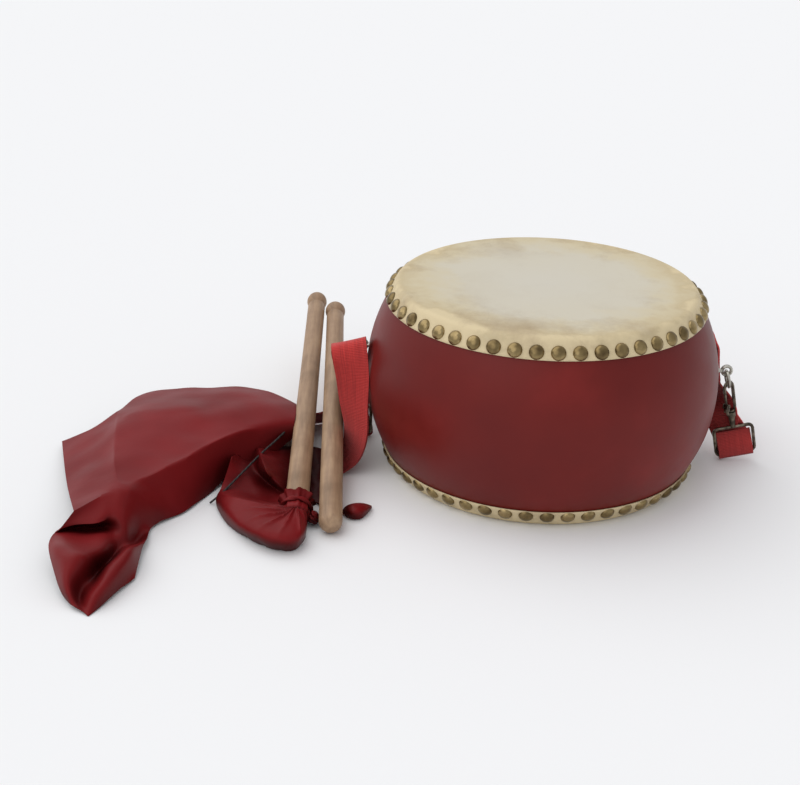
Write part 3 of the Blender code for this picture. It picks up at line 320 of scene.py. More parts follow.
nail_ring_radius = SKIRT_RADIUS - (SKIRT_DROP - NAIL_DROP) * math.tan(SKIN_SLOPE)
for head, lift, turn, owner in (("top", HEIGHT, 0.0, "top_skin"), ("bottom", 0.0, math.pi, "bottom_skin")):
    seat = Matrix.Translation((0, 0, lift)) @ Matrix.Rotation(turn, 4, "X")
    skin = turned(head + "_skin_look", skin_profile, TURNED_STEPS, hide)
    skin.data.transform(seat)
    nails = bmesh.new()
    for i in range(NAIL_COUNT):
        azimuth = 2 * math.pi * (i + 0.5) / NAIL_COUNT
        here = (Matrix.Rotation(azimuth, 4, "Z") @ Matrix.Translation((nail_ring_radius, 0, -NAIL_DROP))
                @ Matrix.Rotation(math.pi / 2 - SKIN_SLOPE, 4, "Y"))
        rows = []
        for k in range(NAIL_RINGS + 1):
            angle = math.pi / 2 * k / NAIL_RINGS
            radius = NAIL_RADIUS * math.sin(angle)
            height = NAIL_RISE * math.cos(angle)
            row = []
            for j in range(NAIL_SIDES if k else 1):
                side_angle = 2 * math.pi * j / NAIL_SIDES
                spot = Vector((radius * math.cos(side_angle), radius * math.sin(side_angle), height))
                row.append(nails.verts.new(seat @ here @ spot))
            rows.append(row)
        for low, high in zip(rows, rows[1:]):
            for j in range(NAIL_SIDES):
                low_next = low[(j + 1) % len(low)]
                corners = [low[j % len(low)], low_next, high[(j + 1) % NAIL_SIDES], high[j]]
                corners = [v for n, v in enumerate(corners) if v not in corners[:n]]
                nails.faces.new(corners)
    bmesh.ops.recalc_face_normals(nails, faces=nails.faces)
    nail_mesh = bpy.data.meshes.new(head + "_nails")
    nails.to_mesh(nail_mesh)
    nails.free()
    nail_set = shown(head + "_nails", nail_mesh, brass)
    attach(skin, "drum")
    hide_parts(owner)
    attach(nail_set, "drum")

# Sticks
# Two plain turned beaters of pale sanded hardwood, thicker at the butt, with a small rounded
# knob at the striking end. They lie loose, far ends raised on the strap's edge.
STICK_LENGTH = 311.0 * MM
STICK_BUTT = 7.9 * MM
STICK_NECK = 7.0 * MM
KNOB_RADIUS = 8.1 * MM
KNOB_LENGTH = 16.0 * MM
BUTT_ROUNDING = 7.0 * MM
SHANK_START = 12.0 * MM
SHANK_END_GAP = 2.0 * MM
STICK_SIDES = 40
BUTT_STEPS = 7
SHANK_STEPS = 16
KNOB_STEPS = 12
knob_start = STICK_LENGTH - KNOB_LENGTH
stick_profile = []
for k in range(BUTT_STEPS + 1):
    angle = math.pi / 2 * k / BUTT_STEPS
    stick_profile.append((STICK_BUTT * math.sin(angle), BUTT_ROUNDING * (1 - math.cos(angle))))
for k in range(1, SHANK_STEPS + 1):
    part = k / SHANK_STEPS
    ease = part * part * (3 - 2 * part)
    height = SHANK_START + (knob_start - SHANK_START - SHANK_END_GAP) * part
    stick_profile.append((STICK_BUTT + (STICK_NECK - STICK_BUTT) * ease, height))
for k in range(KNOB_STEPS + 1):
    angle = math.radians(-50 + 140 * k / KNOB_STEPS)
    radius = KNOB_RADIUS * math.cos(angle) if k < KNOB_STEPS else 0.0
    stick_profile.append((radius, knob_start + KNOB_LENGTH * (0.45 + 0.55 * math.sin(angle))))

wood, tree, shader = blank_material("plain_wood", Roughness=0.55)
place = node(tree, "ShaderNodeTexCoord")
along = node(tree, "ShaderNodeMapping", {"Vector": place.outputs["Object"], "Scale": (1.0, 1.0, 0.09)})
figure = node(tree, "ShaderNodeTexNoise", {"Vector": along.outputs["Vector"], "Scale": 260.0, "Detail": 7.0,
                                           "Roughness": 0.6})
patch = node(tree, "ShaderNodeTexNoise", {"Vector": place.outputs["Object"], "Scale": 38.0, "Detail": 4.0})
mixed = node(tree, "ShaderNodeMath", {0: figure.outputs["Fac"], 1: patch.outputs["Fac"]},
             operation="MULTIPLY")
tree.links.new(
    ramp(tree, mixed.outputs["Value"], [(0.12, (0.22, 0.135, 0.075)), (0.24, (0.32, 0.20, 0.118)),
                                        (0.38, (0.42, 0.275, 0.163))]),
    shader.inputs["Base Color"],
)
link_bump(tree, shader, figure.outputs["Fac"], 0.0002, 0.5)


def beside(out, back, up):
    """A point at the drum's left side in millimetres, out from the belly, back and up."""
    return Vector((-BELLY_RADIUS - out * MM, back * MM, up * MM))


STICKS = {
    "stick_1": ((30.5, -132, 7.9), (64.3, 165.8, 48.7)),
    "stick_2": ((5.1, -144.6, 7.9), (47.1, 154.6, 46.6)),
}
sticks = {}
for name, (butt, tip) in STICKS.items():
    stick = turned(name + "_look", stick_profile, STICK_SIDES, wood)
    stick.location = beside(*butt)
    stick.rotation_mode = "QUATERNION"
    stick.rotation_quaternion = Vector((0, 0, 1)).rotation_difference(beside(*tip) - beside(*butt))
    sticks[name] = stick
    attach(stick, name + "_body")
    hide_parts(name)

# Screw eyes, rings, snap hooks and spring
# Dull plated steel eyes are screwed into the shell and carry the loose rings and, inside, the
# sounding spring; the swivel snap hooks and their rectangular strap eyes are dark antiqued bronze.
steel, tree, shader = blank_material("plated_steel", Metallic=1.0)
place = node(tree, "ShaderNodeTexCoord")
wear = node(tree, "ShaderNodeTexNoise", {"Vector": place.outputs["Object"], "Scale": 320.0, "Detail": 5.0})
tree.links.new(ramp(tree, wear.outputs["Fac"], [(0.35, (0.30, 0.28, 0.24)), (0.65, (0.62, 0.60, 0.54))]),
               shader.inputs["Base Color"])
gloss = node(tree, "ShaderNodeMapRange", {"Value": wear.outputs["Fac"], "To Min": 0.22, "To Max": 0.42})
tree.links.new(gloss.outputs["Result"], shader.inputs["Roughness"])
soft_edge = node(tree, "ShaderNodeBevel", {"Radius": 0.0004}, samples=4)
tree.links.new(soft_edge.outputs["Normal"], shader.inputs["Normal"])

bronze, tree, shader = blank_material("dark_bronze", Metallic=1.0)
place = node(tree, "ShaderNodeTexCoord")
wear = node(tree, "ShaderNodeTexNoise", {"Vector": place.outputs["Object"], "Scale": 260.0, "Detail": 6.0})
tree.links.new(ramp(tree, wear.outputs["Fac"], [(0.35, (0.055, 0.045, 0.035)), (0.55, (0.15, 0.125, 0.095)),
                                                (0.75, (0.30, 0.26, 0.20))]),
               shader.inputs["Base Color"])
gloss = node(tree, "ShaderNodeMapRange", {"Value": wear.outputs["Fac"], "To Min": 0.42, "To Max": 0.28})
tree.links.new(gloss.outputs["Result"], shader.inputs["Roughness"])
soft_edge = node(tree, "ShaderNodeBevel", {"Radius": 0.0004}, samples=4)
tree.links.new(soft_edge.outputs["Normal"], shader.inputs["Normal"])

metal_nodes = {"sound_spring": steel, "front_spring_eye": steel, "back_spring_eye": steel}
for side in ("left", "right"):
    for part in ("ring_plate", "screw_eye", "ring"):
        metal_nodes[side + "_" + part] = steel
    for part in ("hook", "gate", "gate_pin", "strap_eye"):
        metal_nodes[side + "_" + part] = bronze
for name, paint in metal_nodes.items():
    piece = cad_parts[name]
    piece.data.materials.clear()
    piece.data.materials.append(paint)

# Strap
# One length of 25 mm bright red woven webbing with fine crosswise ribs. Each end is folded round
# a strap eye's lower bar and sewn; the slack lies round the back and in a loop on the left.
STRAP_WIDTH = 25.0 * MM
STRAP_THICKNESS = 1.4 * MM
RING_RADIUS = 6.0 * MM
RING_WIRE = 1.2 * MM
SCREW_EYE_RADIUS = 3.4 * MM
EYE_WIRE = 1.3 * MM
CLEARANCE = 0.3 * MM
HOOK_LENGTH = 33.0 * MM
EYE_LENGTH = 21.0 * MM
BAR_DROP = 2 * RING_RADIUS + HOOK_LENGTH + EYE_LENGTH
HANG_RADIUS = BELLY_RADIUS + 8.9 * MM
HANGER_HEIGHT = 71.0 * MM
FLOOR_GAP = 0.3 * MM
SPANS = 8
STRAP_COLUMNS = 8
LOOP_STEPS = 6
RIB_PITCH = 1.1 * MM
WARP_COUNT = 26


def polar(azimuth, off, height):
    """A point round the drum in degrees, off from the belly and up in millimetres."""
    angle = math.radians(azimuth)
    radius = BELLY_RADIUS + off * MM
    return Vector((radius * math.cos(angle), radius * math.sin(angle), height * MM))


def polar_across(azimuth, radial, tangential, up):
    """A direction round the drum, from its parts away from the axis, round it and up."""
    angle = math.radians(azimuth)
    return Vector((radial * math.cos(angle) - tangential * math.sin(angle),
                   radial * math.sin(angle) + tangential * math.cos(angle), up))


def chain_frame(azimuth, lean):
    """The frame of a hanging chain: X outward, -Z down the chain, from the ring's top wire."""
    angle = math.radians(azimuth)
    outward = Vector((math.cos(angle), math.sin(angle), 0))
    drop = SCREW_EYE_RADIUS - EYE_WIRE - RING_WIRE - CLEARANCE
    start = (outward * HANG_RADIUS + Vector((0, 0, HANGER_HEIGHT))
             + drop * (math.sin(lean) * outward - math.cos(lean) * Vector((0, 0, 1))))
    return Matrix.Translation(start) @ Matrix.Rotation(angle, 4, "Z") @ Matrix.Rotation(-lean, 4, "Y")


CHAINS = {
    "right": chain_frame(7.5, math.radians(12.0)),
    "left": chain_frame(170.0, 0.0) @ Matrix.Rotation(math.radians(-45.0), 4, "Z"),
}
LOOP_TAIL = [(2.6, 17.0), (0.6, 11.5), (-1.6, 5.5)]
LOOP_LEAD = [(2.9, 5.5), (3.9, 12.0), (4.9, 18.0), (6.3, 25.2)]
RIGHT_TWIST = [(0.3, 0), (1.2, 7), (3.2, 18), (5.8, 28), (6.1, 29), (6.4, 31), (6.4, 33)]
RIGHT_START = [(6.5, 26.3), (6.99, 28.9), (7.49, 31.5)]
LEFT_START = [(6.5, 26.3), (7.83, 33.3)]
RIGHT_LEAD = [
    (polar(13.5, 9.6, 44.5), polar_across(13.5, 0.2, -0.93, 0.15)),
    (polar(16.4, 7.3, 52.0), polar_across(16.4, 0.05, -0.95, 0.25)),
    (polar(18.4, 7.3, 61.0), polar_across(18.4, -0.02, -0.92, 0.38)),
    (polar(20.7, 8.5, 69.34), polar_across(22.66, 0.0, -0.64, 0.77)),
    (polar(21.68, 8.33, 71.27), polar_across(22.66, 0.0, -0.64, 0.77)),
    (polar(22.66, 8.2, 73.2), polar_across(22.66, 0.0, -0.64, 0.77)),
]
BACK_RUN = [
    (polar(22.99, 8.16, 73.84), polar_across(22.66, 0.0, -0.64, 0.77)),
    (polar(23.98, 8.08, 75.77), polar_across(22.66, 0.0, -0.64, 0.77)),
    (polar(24.96, 8.05, 77.7), polar_across(22.66, 0.0, -0.64, 0.77)),
    (polar(29.0, 7.4, 81.5), polar_across(29.0, 0.0, -0.4, 0.92)),
    (polar(34.0, 6.8, 83.2), polar_across(34.0, 0.0, -0.2, 0.98)),
    (polar(39.5, 6.8, 82.2), polar_across(39.5, 0.0, 0.15, 0.99)),
    (polar(46.0, 6.8, 76.0), polar_across(46.0, 0.0, 0.49, 0.87)),
    (polar(54.0, 7.8, 62.0), polar_across(54.0, 0.0, 0.63, 0.77)),
    (polar(65.0, 9.8, 40.0), polar_across(65.0, 0.1, 0.6, 0.79)),
    (polar(77.0, 11.3, 20.0), polar_across(77.0, 0.05, 0.41, 0.91)),
    (polar(90.0, 11.8, 13.2), polar_across(90.0, 0.0, 0.0, 1.0)),
    (polar(105.0, 11.8, 13.0), polar_across(105.0, 0.0, 0.0, 1.0)),
    (polar(122.0, 11.8, 13.0), polar_across(122.0, 0.0, 0.0, 1.0)),
    (polar(139.0, 15.8, 13.0), polar_across(139.0, 0.0, 0.0, 1.0)),
    (polar(152.0, 22.8, 13.2), polar_across(152.0, 0.0, 0.0, 1.0)),
]
LEFT_TURN = [
    (beside(19.8, 46, 12.8), Vector((0.2, -0.3, 0.93))),
    (beside(29.8, 29, 10.9), Vector((0.1, -0.72, 0.69))),
    (beside(42.8, 19.5, 9.4), Vector((0.0, -0.78, 0.62))),
    (beside(59.8, 15, 11.2), Vector((0.0, -0.6, 0.8))),
    (beside(77.8, 12, 13.4), Vector((0.0, -0.15, 0.99))),
    (beside(96.8, 4, 13.3), Vector((0.0, 0.0, 1.0))),
    (beside(109.8, -12, 13.4), Vector((0.0, 0.0, 1.0))),
    (beside(111.8, -34, 13.6), Vector((0.0, 0.0, 1.0))),
    (beside(101.8, -51, 13.8), Vector((-0.25, 0.3, 0.92))),
    (beside(85.8, -60, 9.0), Vector((-0.35, 0.8, 0.48))),
    (beside(66.8, -62, 3.2), Vector((-0.4, 0.88, 0.1))),
    (beside(48.8, -60.5, 1.7), Vector((-0.5, 0.85, 0.0))),
    (beside(32.8, -56, 1.6), Vector((-0.6, 0.8, 0.0))),
]
LEFT_ARCH = [
    (beside(21.8, -47.5, 1.7), Vector((-0.6, 0.8, 0))),
    (beside(13.3, -41.5, 5.2), Vector((-0.6, 0.8, 0))),
    (beside(6, -39, 14), Vector((-0.64, 0.76, 0))),
    (beside(3.1, -38, 30), Vector((-0.74, 0.66, -0.05))),
    (beside(5.3, -36, 51), Vector((-0.86, 0.45, -0.1))),
    (beside(6.3, -36.5, 70), Vector((-0.93, 0.2, -0.15))),
    (beside(8.3, -37, 86), Vector((-0.95, -0.05, -0.25))),
    (beside(9.8, -33.5, 93.5), Vector((-0.93, -0.15, -0.28))),
    (beside(10.8, -25, 92), Vector((-0.93, -0.12, -0.22))),
    (beside(12.1, -16, 85.5), Vector((-0.93, -0.05, -0.15))),
    (beside(12.9, -10.2, 79.5), Vector((-0.93, 0, -0.15))),
]
LEFT_LEAD = [
    (beside(13.2, -8.4, 77.4), Vector((-0.93, 0, -0.15))),
    (beside(13.6, -3.8, 71.5), Vector((-0.93, 0.08, -0.14))),
    (beside(13.8, 4, 60), Vector((-0.88, 0.35, -0.1))),
    (beside(13.8, 13.5, 47), Vector((-0.75, 0.62, -0.1))),
]


def smooth_path(points, spans):
    """Points of a smooth curve through the given points, spans pieces between each pair."""
    knots = [Vector(point) for point in points]
    path = []
    for i in range(len(knots) - 1):
        before = knots[max(i - 1, 0)]
        start = knots[i]
        end = knots[i + 1]
        after = knots[min(i + 2, len(knots) - 1)]
        for k in range(spans):
            t = k / spans
            path.append(
                0.5 * (2 * start + (end - before) * t
                       + (2 * before - 5 * start + 4 * end - after) * t ** 2
                       + (3 * start - before - 3 * end + after) * t ** 3)
            )
    path.append(knots[-1])
    return path


def loop_stations(chain, start):
    """Centres and width directions of the sewn loop and of the straight start of its lead."""
    reach = EYE_WIRE + CLEARANCE + STRAP_THICKNESS / 2
    flat = [(t * MM, h * MM) for t, h in LOOP_TAIL]
    for k in range(LOOP_STEPS + 1):
        angle = math.pi + math.pi * k / LOOP_STEPS
        flat.append((reach * math.cos(angle), reach * math.sin(angle)))
    flat += [(t * MM, h * MM) for t, h in LOOP_LEAD + start]
    width = chain.to_3x3() @ Vector((1, 0, 0))
    return [(chain @ Vector((0, t, h - BAR_DROP)), width) for t, h in flat]


right_loop = loop_stations(CHAINS["right"], RIGHT_START)
outward = CHAINS["right"].to_3x3() @ Vector((1, 0, 0))
for k, (inward, twist) in enumerate(RIGHT_TWIST):
    place_on_loop = k - len(RIGHT_TWIST)
    centre, width = right_loop[place_on_loop]
    turn = CHAINS["right"].to_3x3() @ Matrix.Rotation(math.radians(-twist), 3, "Z") @ Vector((1, 0, 0))
    right_loop[place_on_loop] = (centre - outward * inward * MM, turn)
left_loop = loop_stations(CHAINS["left"], LEFT_START)
open_run = BACK_RUN + LEFT_TURN + LEFT_ARCH
route = right_loop + RIGHT_LEAD + open_run + LEFT_LEAD + left_loop[::-1]
centres = smooth_path([station[0] for station in route], SPANS)
widths = smooth_path([station[1] for station in route], SPANS)
lengths = [0.0]
for k in range(1, len(centres)):
    lengths.append(lengths[-1] + (centres[k] - centres[k - 1]).length)

webbing, tree, shader = blank_material("red_webbing", Roughness=0.72, Sheen_Weight=0.1, Sheen_Roughness=0.5)
place = node(tree, "ShaderNodeUVMap")
parts = node(tree, "ShaderNodeSeparateXYZ", {"Vector": place.outputs["UV"]})
rib_phase = node(tree, "ShaderNodeMath", {0: parts.outputs["Y"], 1: 2 * math.pi / RIB_PITCH},
                 operation="MULTIPLY")
rib = node(tree, "ShaderNodeMath", {0: rib_phase.outputs["Value"]}, operation="SINE")
warp_phase = node(tree, "ShaderNodeMath", {0: parts.outputs["X"], 1: 2 * math.pi * WARP_COUNT},
                  operation="MULTIPLY")
warp = node(tree, "ShaderNodeMath", {0: warp_phase.outputs["Value"]}, operation="SINE")
weave = node(tree, "ShaderNodeMath", {0: warp.outputs["Value"], 1: 0.25}, operation="MULTIPLY")
relief = node(tree, "ShaderNodeMath", {0: weave.outputs["Value"], 1: rib.outputs["Value"]}, operation="ADD")
fade = node(tree, "ShaderNodeTexNoise", {"Vector": place.outputs["UV"], "Scale": 30.0, "Detail": 4.0})
shade = node(tree, "ShaderNodeMath", {0: relief.outputs["Value"], 1: 0.12}, operation="MULTIPLY")
tone = node(tree, "ShaderNodeMath", {0: shade.outputs["Value"], 1: fade.outputs["Fac"]}, operation="ADD")
weft = ramp(tree, tone.outputs["Value"], [(0.2, (0.36, 0.013, 0.012)), (0.5, (0.54, 0.026, 0.022)),
                                          (0.85, (0.70, 0.045, 0.038))])
# Painted shade: an ambient occlusion node blends the webbing's colour towards near-black where the drum,
# floor and sticks close in on the strap. Its lower and tucked-in parts are therefore darkened in the colour
# itself.
strap_occlusion_shade = node(tree, "ShaderNodeAmbientOcclusion", {"Distance": 0.09}, samples=8)
strap_shade_factor = node(tree, "ShaderNodeMapRange", {"Value": strap_occlusion_shade.outputs["AO"], "From Min": 0.3,
                                             "From Max": 0.85, "To Min": 0.3, "To Max": 1.0})
strap_painted_shade = node(tree, "ShaderNodeMix", {"Factor": strap_shade_factor.outputs["Result"], "A": (0.10, 0.003, 0.003, 1.0),
                                    "B": weft}, data_type="RGBA")
tree.links.new(strap_painted_shade.outputs["Result"], shader.inputs["Base Color"])
link_bump(tree, shader, relief.outputs["Value"], 0.0002, 0.6)


def settle(obj):
    """Makes the object's modifiers part of its mesh."""
    bpy.context.view_layer.update()
    graph = bpy.context.evaluated_depsgraph_get()
    mesh = bpy.data.meshes.new_from_object(obj.evaluated_get(graph))
    obj.modifiers.clear()
    obj.data = mesh
    mesh.shade_smooth()
    mesh.set_sharp_from_angle(angle=math.radians(50))
    return obj


def webbing_piece(name, first, last):
    """The strap between two stations of the route, as a thin solid with its UV in metres along."""
    work = bmesh.new()
    layer = work.loops.layers.uv.new("UVMap")
    rows = []
    where = {}
    for k in range(first * SPANS, last * SPANS + 1):
        along = (centres[min(k + 1, len(centres) - 1)] - centres[max(k - 1, 0)]).normalized()
        side = widths[k] - widths[k].dot(along) * along
        side = side.normalized() * STRAP_WIDTH / 2
        row = []
        for j in range(STRAP_COLUMNS + 1):
            share = 2 * j / STRAP_COLUMNS - 1
            vert = work.verts.new(centres[k] + side * share)
            where[vert] = (j / STRAP_COLUMNS, lengths[k])
            row.append(vert)
        rows.append(row)
    for low, high in zip(rows, rows[1:]):
        for j in range(STRAP_COLUMNS):
            face = work.faces.new((low[j], low[j + 1], high[j + 1], high[j]))
            for loop in face.loops:
                loop[layer].uv = where[loop.vert]
    mesh = bpy.data.meshes.new(name)
    work.to_mesh(mesh)
    work.free()
    piece = shown(name, mesh, webbing)
    thick = piece.modifiers.new("Webbing", "SOLIDIFY")
    thick.thickness = STRAP_THICKNESS
    thick.offset = 0.0
    settle(piece)
    for vertex in piece.data.vertices:
        vertex.co.z = max(vertex.co.z, FLOOR_GAP)
    length = lengths[last * SPANS] - lengths[first * SPANS]
    return piece, length


right_end_stop = len(right_loop) - len(RIGHT_START) - 1
right_lead_stop = len(right_loop) + len(RIGHT_LEAD) - 1
left_lead_start = right_lead_stop + len(open_run)
left_end_start = left_lead_start + len(LEFT_LEAD) + len(LEFT_START) + 1
last_station = len(route) - 1
strap_parts = (
    ("right_strap_end", 0, right_end_stop, "stretched", "right_strap_eye"),
    ("right_strap_lead", right_end_stop, right_lead_stop, "hung", "right_strap_eye"),
    ("strap_webbing", right_lead_stop, left_lead_start, "laid", "floor"),
    ("left_strap_lead", left_lead_start, left_end_start, "hung", "left_strap_eye"),
    ("left_strap_end", left_end_start, last_station, "stretched", "left_strap_eye"),
)
for name, first, last, held, support in strap_parts:
    piece, length = webbing_piece(name + "_look", first, last)
    side = name.split("_")[0]
    if name.endswith("end"):
        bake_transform(piece)
    elif name.endswith("lead"):
        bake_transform(piece)
    else:
        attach(piece, "drum")
    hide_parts(name)

# Silk scarf
# A loose piece of dark red satin, pressed in folds, thrown over the strap's loop: a creased
# panel from the far left corner to the hump beside the sticks, and a rolled fold at the front.
SCARF_CAGE = [
    [(151, -247, 2), (144, -256, 3.3), (139, -257, 2.8), (133, -261, 0.3),
     (127, -246, 2.2), (123, -233, 2.9), (117, -216, 1.2)],
    [(155, -245, 6.1), (148, -251, 19.6), (150, -228, -11.7), (133, -257, 17),
     (126, -245, 15.5), (122, -228, 11.1), (118, -208, 2.8)],
    [(168, -220, 9.7), (153, -237, 22.7), (137, -236, 31.7), (149, -194, -16.2),
     (133, -226, 16), (120, -215, 18.9), (119, -197, 5.6)],
    [(175, -207, 15.5), (163, -224, 24.1), (149, -226, 22.6), (129, -224, 30.2),
     (143, -177, -14.5), (121, -217, 27.7), (122, -179, 4.7)],
    [(178, -186, 12), (174, -164, 6.2), (162, -162, 3.9), (153, -157, 4.5),
     (127, -190, 22.1), (132, -163, -11), (120, -172, 5.9)],
    [(174, -186, 15), (165, -182, 18), (154, -184, 19), (143, -184, 21),
     (135, -178, 22), (130, -160, 15), (125, -153, 1.5)],
    [(166, -179, 25), (158, -174, 28), (151, -166, 30), (144, -159, 32),
     (136, -160, 30), (128, -153, 20), (121, -145, 1.5)],
    [(191, -119, 12), (174, -136, 20), (158, -150, 27), (145, -158, 32.2),
     (135, -156, 30.5), (126, -149, 20), (119, -141, 1.5)],
    [(220, -39, 4.5), (193, -83, 15), (167, -124, 25), (145, -156, 32.3),
     (135, -153, 31), (125, -144, 20), (116, -138, 1.5)],
    [(196, -36, 15), (178, -79, 21), (160, -121, 27.5), (145, -154, 32.4),
     (135, -149, 31), (123, -140, 20), (114, -135, 1.5)],
    [(183, -22, 23), (171.1, -66.2, 30), (158.4, -112, 31.5), (146.9, -150.2, 31),
     (134, -144, 31), (122, -135, 20), (111, -131, 1.5)],
    [(183, -17, 22), (176.7, -38.6, 30), (160.1, -98, 31.5), (146.1, -146.6, 30.5),
     (133, -141, 31), (120, -131, 20), (109, -129, 1.5)],
    [(178, 26, 17), (156.2, -37.6, 33), (145.7, -86, 31.5), (135.1, -127.2, 30),
     (124, -129, 31), (114, -119, 20), (105, -121, 1.5)],
    [(162, 36, 18), (135.4, -32.7, 34), (128.7, -71, 32), (121.1, -107.1, 30),
     (111, -104, 31), (104, -104, 19), (100, -105, 1.5)],
    [(134, 35, 22), (109.2, -24.6, 34), (108.7, -52, 32), (106, -81, 30),
     (100, -81, 31), (95, -78, 18), (93, -85, 1.5)],
    [(109, 36, 24), (92.6, -14.5, 33.5), (92.8, -38.1, 32), (92.7, -56.9, 30),
     (87, -60, 30), (86, -64, 17), (87, -72, 8)],
    [(89, 37, 24), (77.1, -2.4, 32), (77.8, -22.1, 31.5), (77.4, -37.9, 30),
     (74, -43, 29), (71, -46, 18), (69, -56, 5)],
    [(71, 25, 24.5), (65, 1, 29), (64, -14, 30), (63, -25, 29.5),
     (61, -33, 27.5), (58, -33, 20), (57, -34, 11)],
    [(54, 6, 26), (52, -5, 28), (51, -13, 28.5), (50, -20, 28),
     (50, -26, 26.5), (49, -29, 22), (50, -30, 16)],
]
DIAGONAL_FOLD = [(6, column) for column in range(4)]
UPPER_FOLD = [(row, 1) for row in range(11, 15)]
SIDE_FOLD = [(10, column) for column in range(4)]
FRONT_FOLD = [(row, 4) for row in range(6, 17)]
LIP_FOLD = [(5, column) for column in range(4)]
SCARF_CORNERS = [(8, 0), (0, 3)]
SILK_THICKNESS = 0.6 * MM
SCARF_LEVELS = 3
SCARF_UNEVENNESS = 1.2 * MM
SCARF_UNEVEN_SIZE = 22.0 * MM

satin, tree, shader = blank_material("red_satin", Roughness=0.4, Specular_IOR_Level=0.1)
place = node(tree, "ShaderNodeTexCoord")
cast = node(tree, "ShaderNodeTexNoise", {"Vector": place.outputs["Object"], "Scale": 18.0, "Detail": 4.0})
dye = ramp(tree, cast.outputs["Fac"], [(0.3, (0.145, 0.007, 0.008)), (0.7, (0.205, 0.011, 0.013))])
# Painted shade: an ambient occlusion node blends the dyed colour towards near-black in the cloth's folds and
# hollows and under its overhangs. The dark of the folds is therefore in the colour itself.
satin_occlusion_shade = node(tree, "ShaderNodeAmbientOcclusion", {"Distance": 0.045}, samples=8)
shade = node(tree, "ShaderNodeMapRange", {"Value": satin_occlusion_shade.outputs["AO"], "From Min": 0.3, "From Max": 0.9,
                                          "To Min": 0.12, "To Max": 1.0})
dye_with_painted_shade = node(tree, "ShaderNodeMix", {"Factor": shade.outputs["Result"], "A": (0.025, 0.001, 0.001, 1.0),
                                    "B": dye}, data_type="RGBA")
tree.links.new(dye_with_painted_shade.outputs["Result"], shader.inputs["Base Color"])
weave_grain = node(tree, "ShaderNodeTexNoise", {"Vector": place.outputs["Object"], "Scale": 45.0,
                                                "Detail": 8.0, "Roughness": 0.55})
link_bump(tree, shader, weave_grain.outputs["Fac"], 0.0008, 0.35)


def cloth(name, cage, levels, folds=(), corners=()):
    """Cloth smoothed from a coarse cage of rows, with pressed folds and sharp corners left in it."""
    columns = len(cage[0])
    points = [beside(*point) for row in cage for point in row]
    faces = []
    for i in range(len(cage) - 1):
        for j in range(columns - 1):
            start = i * columns + j
            faces.append((start, start + 1, start + columns + 1, start + columns))
    mesh = bpy.data.meshes.new(name)
    mesh.from_pydata(points, [], faces)
    pressed = {}
    for path, sharpness in folds:
        marks = [row * columns + column for row, column in path]
        pressed.update({frozenset(pair): sharpness for pair in zip(marks, marks[1:])})
    edge_crease = mesh.attributes.new("crease_edge", "FLOAT", "EDGE")
    for edge in mesh.edges:
        edge_crease.data[edge.index].value = pressed.get(frozenset(edge.vertices), 0.0)
    corner_crease = mesh.attributes.new("crease_vert", "FLOAT", "POINT")
    for row, column in corners:
        corner_crease.data[row * columns + column].value = 1.0
    piece = shown(name, mesh, satin)
    divide = piece.modifiers.new("Smooth folds", "SUBSURF")
    divide.levels = levels
    divide.render_levels = levels
    divide.boundary_smooth = "PRESERVE_CORNERS"
    return settle(piece)


def crumple(piece, height, size):
    """Small soft unevenness over the whole cloth."""
    for vertex in piece.data.vertices:
        vertex.co.z += height * noise.noise(vertex.co / size)


def thicken(piece, thickness):
    """Gives the cloth its thickness and lays its lowest parts on the floor."""
    thick = piece.modifiers.new("Cloth", "SOLIDIFY")
    thick.thickness = thickness
    thick.offset = 0.0
    settle(piece)
    for vertex in piece.data.vertices:
        vertex.co.z = max(vertex.co.z, FLOOR_GAP)
    return piece


scarf_folds = ((DIAGONAL_FOLD, 2.5), (UPPER_FOLD, 2.2), (SIDE_FOLD, 2.5), (FRONT_FOLD, 0.8), (LIP_FOLD, 0.9))
scarf = cloth("silk_scarf_look", SCARF_CAGE, SCARF_LEVELS, folds=scarf_folds, corners=SCARF_CORNERS)
crumple(scarf, SCARF_UNEVENNESS, SCARF_UNEVEN_SIZE)
thicken(scarf, SILK_THICKNESS)
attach(scarf, "drum")
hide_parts("silk_scarf")

